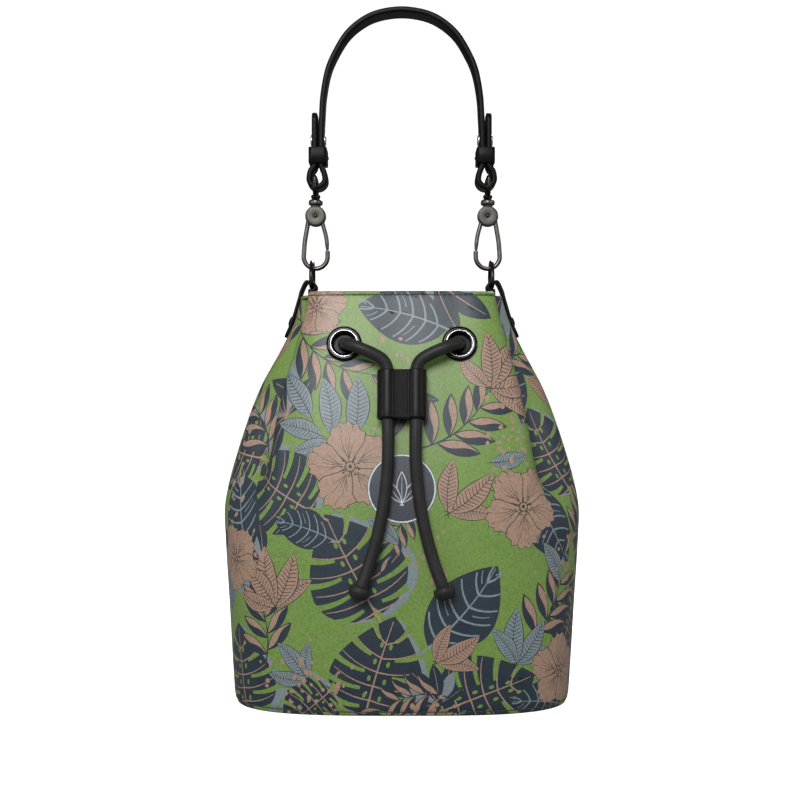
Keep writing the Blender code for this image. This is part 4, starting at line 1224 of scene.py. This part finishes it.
inner = INNER_RUN + flipped(INNER_RUN, -1)[::-1][1:]
run, _ = cord("inner_cord", inner)
settle(run, "bag", "drawstring_inner", finish=CORD_LEATHER)
KNOB = [(0, 0.0001), (0.0050, 0.0001), (0.0062, 0.0008), (0.0070, 0.0022), (0.0071, 0.0042), (0.0058, 0.0070),
        (0.0035, 0.0086), (0, 0.0090)]
for side, name in SIDES:
    tail, route = cord("tail_" + name, flipped(TAIL, side))
    settle(tail, "bag", "cord_tail_" + name, finish=CORD_LEATHER)
    way = route[-1] - route[-3]
    knob = lathe("knob_" + name, eased(KNOB, 0.0014, 5), way, route[-1], 48, 60)
    settle(knob, "bag", "cord_knob_" + name, finish=CORD_LEATHER)
    [tuple(p) for p in route[::3]] + [tuple(route[-1])]

# %% Slider
def slider():
    """A sleeve for both cords, pinched between them and sewn there with a narrow ribbed band."""
    apart, lobe_r, bore_r, sewn, length = 0.0092, 0.0067, 0.0050, 0.0049, 0.0315
    top, low = np.array(TAIL[7]), np.array(TAIL[8])
    middle, tilt = (top + low) / 2 * (0, 1, 1), (low - top) * (0, 1, 1)
    tilt /= np.linalg.norm(tilt)
    x = np.linspace(-apart - lobe_r, apart + lobe_r, 81)
    lobe = np.sqrt(np.maximum(lobe_r ** 2 - (np.abs(x) - apart) ** 2, 0))
    upper = np.where(np.abs(x) < apart, np.maximum(lobe, 0.0034), lobe)
    outline = np.concatenate([x + 1j * upper, (x - 1j * upper)[::-1][1:-1]])
    steps = np.array([-0.5, -0.492, -0.47, -0.3, 0, 0.3, 0.47, 0.492, 0.5])
    scale = np.array([0.955, 0.985, 1, 0.995, 0.985, 0.995, 1, 0.985, 0.955])
    path = middle + tilt * (steps * length)[:, None]
    body = finish_surface(sweep("slider_sleeve", path, outline, (1, 0, 0), False, 0.5 + scale / 2, scale))
    ribs = np.linspace(-sewn, sewn, 73)
    ridge = 0.0050 + 0.00016 * np.cos(math.tau * ribs / 0.0011) - 0.0012 * (np.abs(ribs) / sewn) ** 6
    path = middle + np.outer(np.linspace(-0.5, 0.5, 5), tilt) * (length - 0.0004)
    outline = np.concatenate([ribs + 1j * ridge, (ribs - 1j * ridge)[::-1]])
    band = finish_surface(sweep("slider_band", path, outline, (1, 0, 0)), 40)
    for side in (-1, 1):
        profile = [(0, -0.03), (bore_r, -0.03), (bore_r, 0.03), (0, 0.03)]
        bore = lathe("bore", profile, tilt, middle + (side * apart, 0, 0), 40)
        for made in (body, band):
            modified(made, "BOOLEAN", operation="DIFFERENCE", object=bore)
        bpy.data.objects.remove(bore)
    return finish_surface(joined("slider_sleeve", [body, band]), 40)


settle(slider(), "slider", "cord_slider", finish=TRIM_LEATHER)

# %% [markdown]
# ## Side tabs and D-rings
# A leather tab is folded over each ring's straight bar and riveted through the wall. The strip is swept along the
# fold, with its lower corners rounded off.

# %% Tabs
RING_X, RING_BAR, RING_WIRE, RING_HALF, RING_TOP = 0.0626, 0.2822, 0.0030, 0.0118, 0.2999
TAB, TAB_WIDTH, TAB_LOW, RIVET_Z = 0.0019, 0.0180, 0.2470, 0.2575


def side_x(height, inset=0.0):
    return float(plan_at(np.array([height]), np.array([0.0]))[0][0]) - inset


def tab_path():
    wrap = RING_WIRE / 2 + GAP + TAB / 2
    inward = INNER_WALL + BAND * 1.12 + GAP + TAB / 2
    outside = [(side_x(z) + (GAP + TAB / 2) * 1.15, z) for z in (TAB_LOW, 0.2535, 0.261, 0.268, 0.2745)]
    over = [(side_x(RIM) + 0.0004, RIM + 0.0040), (RING_X + 0.0040, RING_BAR + wrap + 0.0006)]
    bend = [(RING_X + wrap * math.cos(math.radians(a)), RING_BAR + wrap * math.sin(math.radians(a)))
            for a in range(75, 301, 25)]
    inside = [(side_x(z, inward) - 0.0006, z) for z in (0.2745, 0.2685, 0.261, 0.2535, TAB_LOW)]
    return [(x, 0, z) for x, z in outside + over + bend + inside]


route = curve_through(tab_path(), 0.0007)
travel = travel_of(route)
corner = 0.0045
width = 1 - (corner / (TAB_WIDTH / 2)) * (1 - rounding(np.minimum(travel, travel[-1] - travel), corner))
tab = finish_surface(sweep("tab_right", route, slab(TAB_WIDTH, TAB, 0.0006, 3), (0, 1, 0), False, width), 50)
slope = np.array([side_x(RIVET_Z - 0.004) - side_x(RIVET_Z + 0.004), 0, 0.008])
rivet_out = (slope[2] / np.linalg.norm(slope), 0, slope[0] / np.linalg.norm(slope))
head = TAB + 0.0008
profile = eased([(0.0013, head - 0.002), (0.0013, head), (0.0036, head), (0.0034, head + 0.0008),
                 (0.0018, head + 0.0014), (0, head + 0.0015)], 0.0005, 4)
rivet = lathe("tab_rivet_right", profile, rivet_out, (side_x(RIVET_Z), 0, RIVET_Z), 40, 50)

# %% D-rings
shoulder = RING_TOP - RING_HALF
bar = [(0, y, 0) for y in np.linspace(-RING_HALF + 0.0022, RING_HALF - 0.0022, 6)]
bow = [(0, RING_HALF * math.cos(turn), shoulder - RING_BAR + RING_HALF * math.sin(turn))
       for turn in np.linspace(0, math.pi, 17)]
ring_path = np.array(bar + [(0, RING_HALF - 0.0004, 0.0012)] + bow + [(0, -RING_HALF + 0.0004, 0.0012)])
ring_path = curve_through(ring_path + (RING_X, 0, RING_BAR), 0.0008, True)
ring = wire("ring_right", ring_path, RING_WIRE, (1, 0, 0), True, 20)
both_sides((tab, "tab_{}", "bag", "side_tab_{}", TRIM_LEATHER),
           (rivet, "tab_rivet_{}", "bag", "tab_rivet_cap_{}", EYELET_METAL),
           (ring, "ring_{}", "ring_{}", "d_ring_{}", DARK_METAL))
for name in ("tab_rivet_post_left", "tab_rivet_post_right"):
    EYELET_METAL.cover(bpy.data.objects[name])

# %% [markdown]
# ## The handle
# The strap is one band of leather. Each end passes through the swivel eye, folds back on itself and is held by a
# screw and a keeper loop. It is swept along its centre line as a rounded oblong, and only its free tips narrow.

# %% Strap
STRAP_WIDTH, STRAP, LEG_X, LEG_PITCH = 0.0185, 0.0039, 0.0560, 0.0046
KEEPER_LOW, KEEPER_HEIGHT, SCREW_Z, LOOP_Z, LOOP_R = 0.3678, 0.0110, 0.3850, 0.3572, 0.0055
ARCH = [(0.0555, 0.4020), (0.0545, 0.4160), (0.0514, 0.4325), (0.0462, 0.4450), (0.0380, 0.4582),
        (0.0272, 0.4675), (0.0155, 0.4727), (0, 0.4748)]
loop_x, outer_leg = LEG_X + LEG_PITCH / 2 + 0.0005, LEG_X + LEG_PITCH
lower = [(outer_leg, KEEPER_LOW + 0.0360), (outer_leg, KEEPER_LOW + 0.024), (outer_leg, KEEPER_LOW + KEEPER_HEIGHT),
         (outer_leg, KEEPER_LOW - 0.0008), (loop_x + LOOP_R * 0.82, LOOP_Z + 0.0055)]
lower += [(loop_x + LOOP_R * math.cos(math.radians(a)), LOOP_Z + LOOP_R * math.sin(math.radians(a)))
          for a in range(0, -181, -30)]
lower += [(loop_x - LOOP_R * 0.82, LOOP_Z + 0.0055), (LEG_X, KEEPER_LOW - 0.0008), (LEG_X, KEEPER_LOW + KEEPER_HEIGHT),
          (LEG_X, KEEPER_LOW + 0.022)]
half = lower + ARCH
strap_route = curve_through([(x, 0, z) for x, z in half] + [(-x, 0, z) for x, z in half[::-1][1:]], 0.0013)
travel = travel_of(strap_route)
from_tip = np.minimum(travel, travel[-1] - travel)
tip, thin = rounding(from_tip, 0.0065, 0.02), 0.78 + 0.22 * rounding(from_tip, 0.0009)
strap = sweep("strap", strap_route, slab(STRAP_WIDTH, STRAP, 0.0013, 4, -0.0001), (0, 1, 0), False,
              0.35 + 0.65 * tip, thin)
settle(finish_surface(strap, 50), "handle", "handle_strap", finish=STRAP_LEATHER)

# %% Keepers and screws
def keeper(name):
    """A leather loop round both layers, with two small studs on its inner side."""
    middle = (LEG_X + LEG_PITCH / 2, 0, KEEPER_LOW + KEEPER_HEIGHT / 2)
    room = (LEG_PITCH + STRAP + 0.0008, STRAP_WIDTH + 0.0006)
    hoop = slab(room[0] + 0.0034, room[1] + 0.0034, 0.0022, 6)
    inside = slab(room[0], room[1], 0.0012, 6)
    rows = ((inside, -0.47), (hoop * 0.975, -0.5), (hoop, -0.45), (hoop, 0.45), (hoop * 0.975, 0.5), (inside, 0.47))
    points = [(middle[0] + z.real, middle[1] + z.imag, middle[2] + share * KEEPER_HEIGHT)
              for outline, share in rows for z in outline]
    loop = finish_surface(mesh_object(name, points, ring_faces(len(rows), len(hoop), True)), 40)
    bumps = [lathe("bump", [(0.0011, 0), (0.0011, 0.0003), (0.0008, 0.0007), (0, 0.0008)], (-1, 0, 0),
                   (middle[0] - room[0] / 2 - 0.0017, y, middle[2]), 20) for y in (-0.004, 0.004)]
    return joined(name, [loop] + bumps)


mid = LEG_X + LEG_PITCH / 2
face = (LEG_PITCH + STRAP) / 2
cap = eased([(0.0015, face - 0.0002), (0.0042, face - 0.0002), (0.0041, face + 0.0008), (0.0030, face + 0.0012),
             (0.0012, face + 0.0012), (0.0011, face + 0.0007), (0, face + 0.0007)], 0.0004)
loop = keeper("keeper_loop_right")
screw = lathe("screw_right", cap, (1, 0, 0), (mid, 0, SCREW_Z), 40)
post = lathe("post_right", cap, (-1, 0, 0), (mid, 0, SCREW_Z), 40)

# %% [markdown]
# ## Swivel hooks
# The snap hooks are small castings: a wire eye that carries the strap, a collar that turns on it, a flat hub with a
# satin disc, and a round hook closed by a sprung gate. Each part is turned or swept, and the joins sink into each
# other as cast metal does.

# %% Swivel eye
RIG_X, WIRE, EYE_WIRE, EYE_BAR, COLLAR_TOP = 0.0602, 0.0033, 0.0030, 0.3579, 0.3436
HOOK_HALF, HOOK_BOTTOM, HUB_Z, HUB_R, HUB_THICK = 0.00835, 0.2954, 0.3320, 0.0073, 0.0054


def swivel_eye():
    wide = STRAP_WIDTH / 2 + EYE_WIRE / 2 + 0.0005
    low = COLLAR_TOP + 0.0018
    under = LOOP_Z - LOOP_R - STRAP / 2
    side = [(wide - 0.0020, EYE_BAR), (wide - 0.0003, EYE_BAR - 0.0006), (wide, EYE_BAR - 0.0022),
            (wide, under + 0.0010), (wide - 0.0006, under - 0.0008), (wide - 0.0030, low + 0.0012),
            (wide - 0.0070, low)]
    path = [(RIG_X, y, z) for y, z in side] + [(RIG_X, -y, z) for y, z in side[::-1]]
    frame_wire = wire("eye", curve_through(path, 0.0008, True), EYE_WIRE, (1, 0, 0), True, 18)
    profile = [(0, low + 0.0018), (0.0026, low + 0.0016), (0.0033, low + 0.0010), (0.0033, COLLAR_TOP + 0.0014),
               (0.0027, COLLAR_TOP + 0.0008), (0.0029, COLLAR_TOP + GAP), (0.0013, COLLAR_TOP + GAP),
               (0.0013, HUB_Z + 0.0066), (0, HUB_Z + 0.0066)]
    return joined("eye_right", [frame_wire, lathe("stud", eased(profile, 0.0004), (0, 0, 1), (RIG_X, 0, 0), 32)])


eye = swivel_eye()

# %% Hook
def hook():
    """Hook wire, hub with its rim, and the collar above it."""
    centre = HOOK_BOTTOM + HOOK_HALF
    path = [(RIG_X + x, 0, HUB_Z - drop) for x, drop in (
        (0.0048, 0.0012), (0.0056, 0.0060), (0.0063, 0.0100), (0.0076, 0.0180))]
    path += [(RIG_X + HOOK_HALF * math.cos(t), 0, centre + HOOK_HALF * math.sin(t))
             for t in np.linspace(0, -math.pi, 13)]
    path += [(RIG_X - HOOK_HALF, 0, centre + 0.00385)]
    bow = finish_surface(sweep("hook_wire", curve_through(path, 0.0008), ring_of(WIRE / 2, 20), (0, 1, 0)), 50)
    half = HUB_THICK / 2
    side = [(0, half - 0.0003), (HUB_R - 0.0013, half - 0.0003), (HUB_R - 0.0011, half), (HUB_R - 0.0004, half),
            (HUB_R, half - 0.0006), (HUB_R, 0)]
    hub = lathe("hub", eased(side + [(r, -h) for r, h in side[::-1][1:]], 0.0003), (0, 1, 0), (RIG_X, 0, HUB_Z), 56)
    foot = HUB_Z + HUB_R - 0.0014
    neck = [(0, foot), (0.0034, foot), (0.0034, foot + 0.0016), (0.0048, foot + 0.0020), (0.0050, foot + 0.0034),
            (0.0049, COLLAR_TOP - 0.0010), (0.0040, COLLAR_TOP), (0, COLLAR_TOP)]
    collar = lathe("collar", eased(neck, 0.0006, 4), (0, 0, 1), (RIG_X, 0, 0), 40)
    return joined("hook_right", [bow, hub, collar])


def hub_disc(name):
    """The satin discs let into both faces of the hub, each with a small rivet end."""
    half = HUB_THICK / 2
    made = []
    for way in (-1, 1):
        profile = eased([(HUB_R - 0.0005, half - 0.0006), (HUB_R - 0.0006, half + 0.0001),
                         (HUB_R - 0.0012, half + 0.0004), (0.0019, half + 0.0004), (0.0017, half), (0, half)], 0.0003)
        made.append(lathe("disc", profile, (0, way, 0), (RIG_X, 0, HUB_Z), 48))
    return joined(name, made)


def pin(name):
    """The gate's pin, whose domed ends show in the middle of both discs."""
    half = HUB_THICK / 2
    end = [(0.0012, half - 0.0010), (0.0012, half + 0.0003), (0.0008, half + 0.0007), (0, half + 0.0008)]
    return lathe(name, eased(end + [(r, -h) for r, h in end[::-1]], 0.0002), (0, 1, 0), (RIG_X, 0, HUB_Z), 28)


def gate():
    """The gate's leg, thinner at its tip, where it meets the hook's end."""
    path = [(RIG_X - x, 0, HUB_Z - drop) for x, drop in (
        (0.0044, 0.0035), (0.0055, 0.0075), (0.0070, 0.0130), (0.0078, 0.0180))]
    path += [(RIG_X - HOOK_HALF + 0.0001, 0, HOOK_BOTTOM + HOOK_HALF + 0.0042)]
    line = curve_through(path, 0.0008)
    taper = np.interp(np.linalg.norm(line - line[-1], axis=1), (0, 0.0050), (0.64, 1.0))
    return finish_surface(sweep("gate_leg_right", line, ring_of(WIRE * 0.45, 20), (0, 1, 0), False, taper, taper), 50)


SATIN = metal("satin_disc", (0.088, 0.083, 0.076), 0.46, 2200)
both_sides((loop, "keeper_loop_{}", "handle", "keeper_{}", STRAP_LEATHER),
           (screw, "screw_{}", "handle", "strap_screw_{}", BRIGHT_METAL_AND_HIGHLIGHT),
           (post, "post_{}", "handle", "strap_post_{}", BRIGHT_METAL_AND_HIGHLIGHT),
           (eye, "eye_{}", "handle", "swivel_eye_{}", DARK_METAL),
           (hook(), "hook_{}", "hook_{}", "hook_frame_{}", GUNMETAL),
           (hub_disc("hub_disc_right"), "hub_disc_{}", "hook_{}", "", SATIN),
           (pin("pin_right"), "pin_{}", "hook_{}", "gate_pin_{}", DARK_METAL),
           (gate(), "gate_leg_{}", "gate_{}", "hook_gate_{}", GUNMETAL))
for name in ("gate_spring_left", "gate_spring_right"):
    DARK_METAL.cover(bpy.data.objects[name])

# %% [markdown]
# ## Size
# The bounds of the finished scene are taken beside the frame's, and the scene's size in millimetres is printed.

sizes = {"cad": CAD_BOX, "scene": [list(corner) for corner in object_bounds()]}
print("size", [round(1000 * (b - a), 1) for a, b in zip(*sizes["scene"])], "mm")
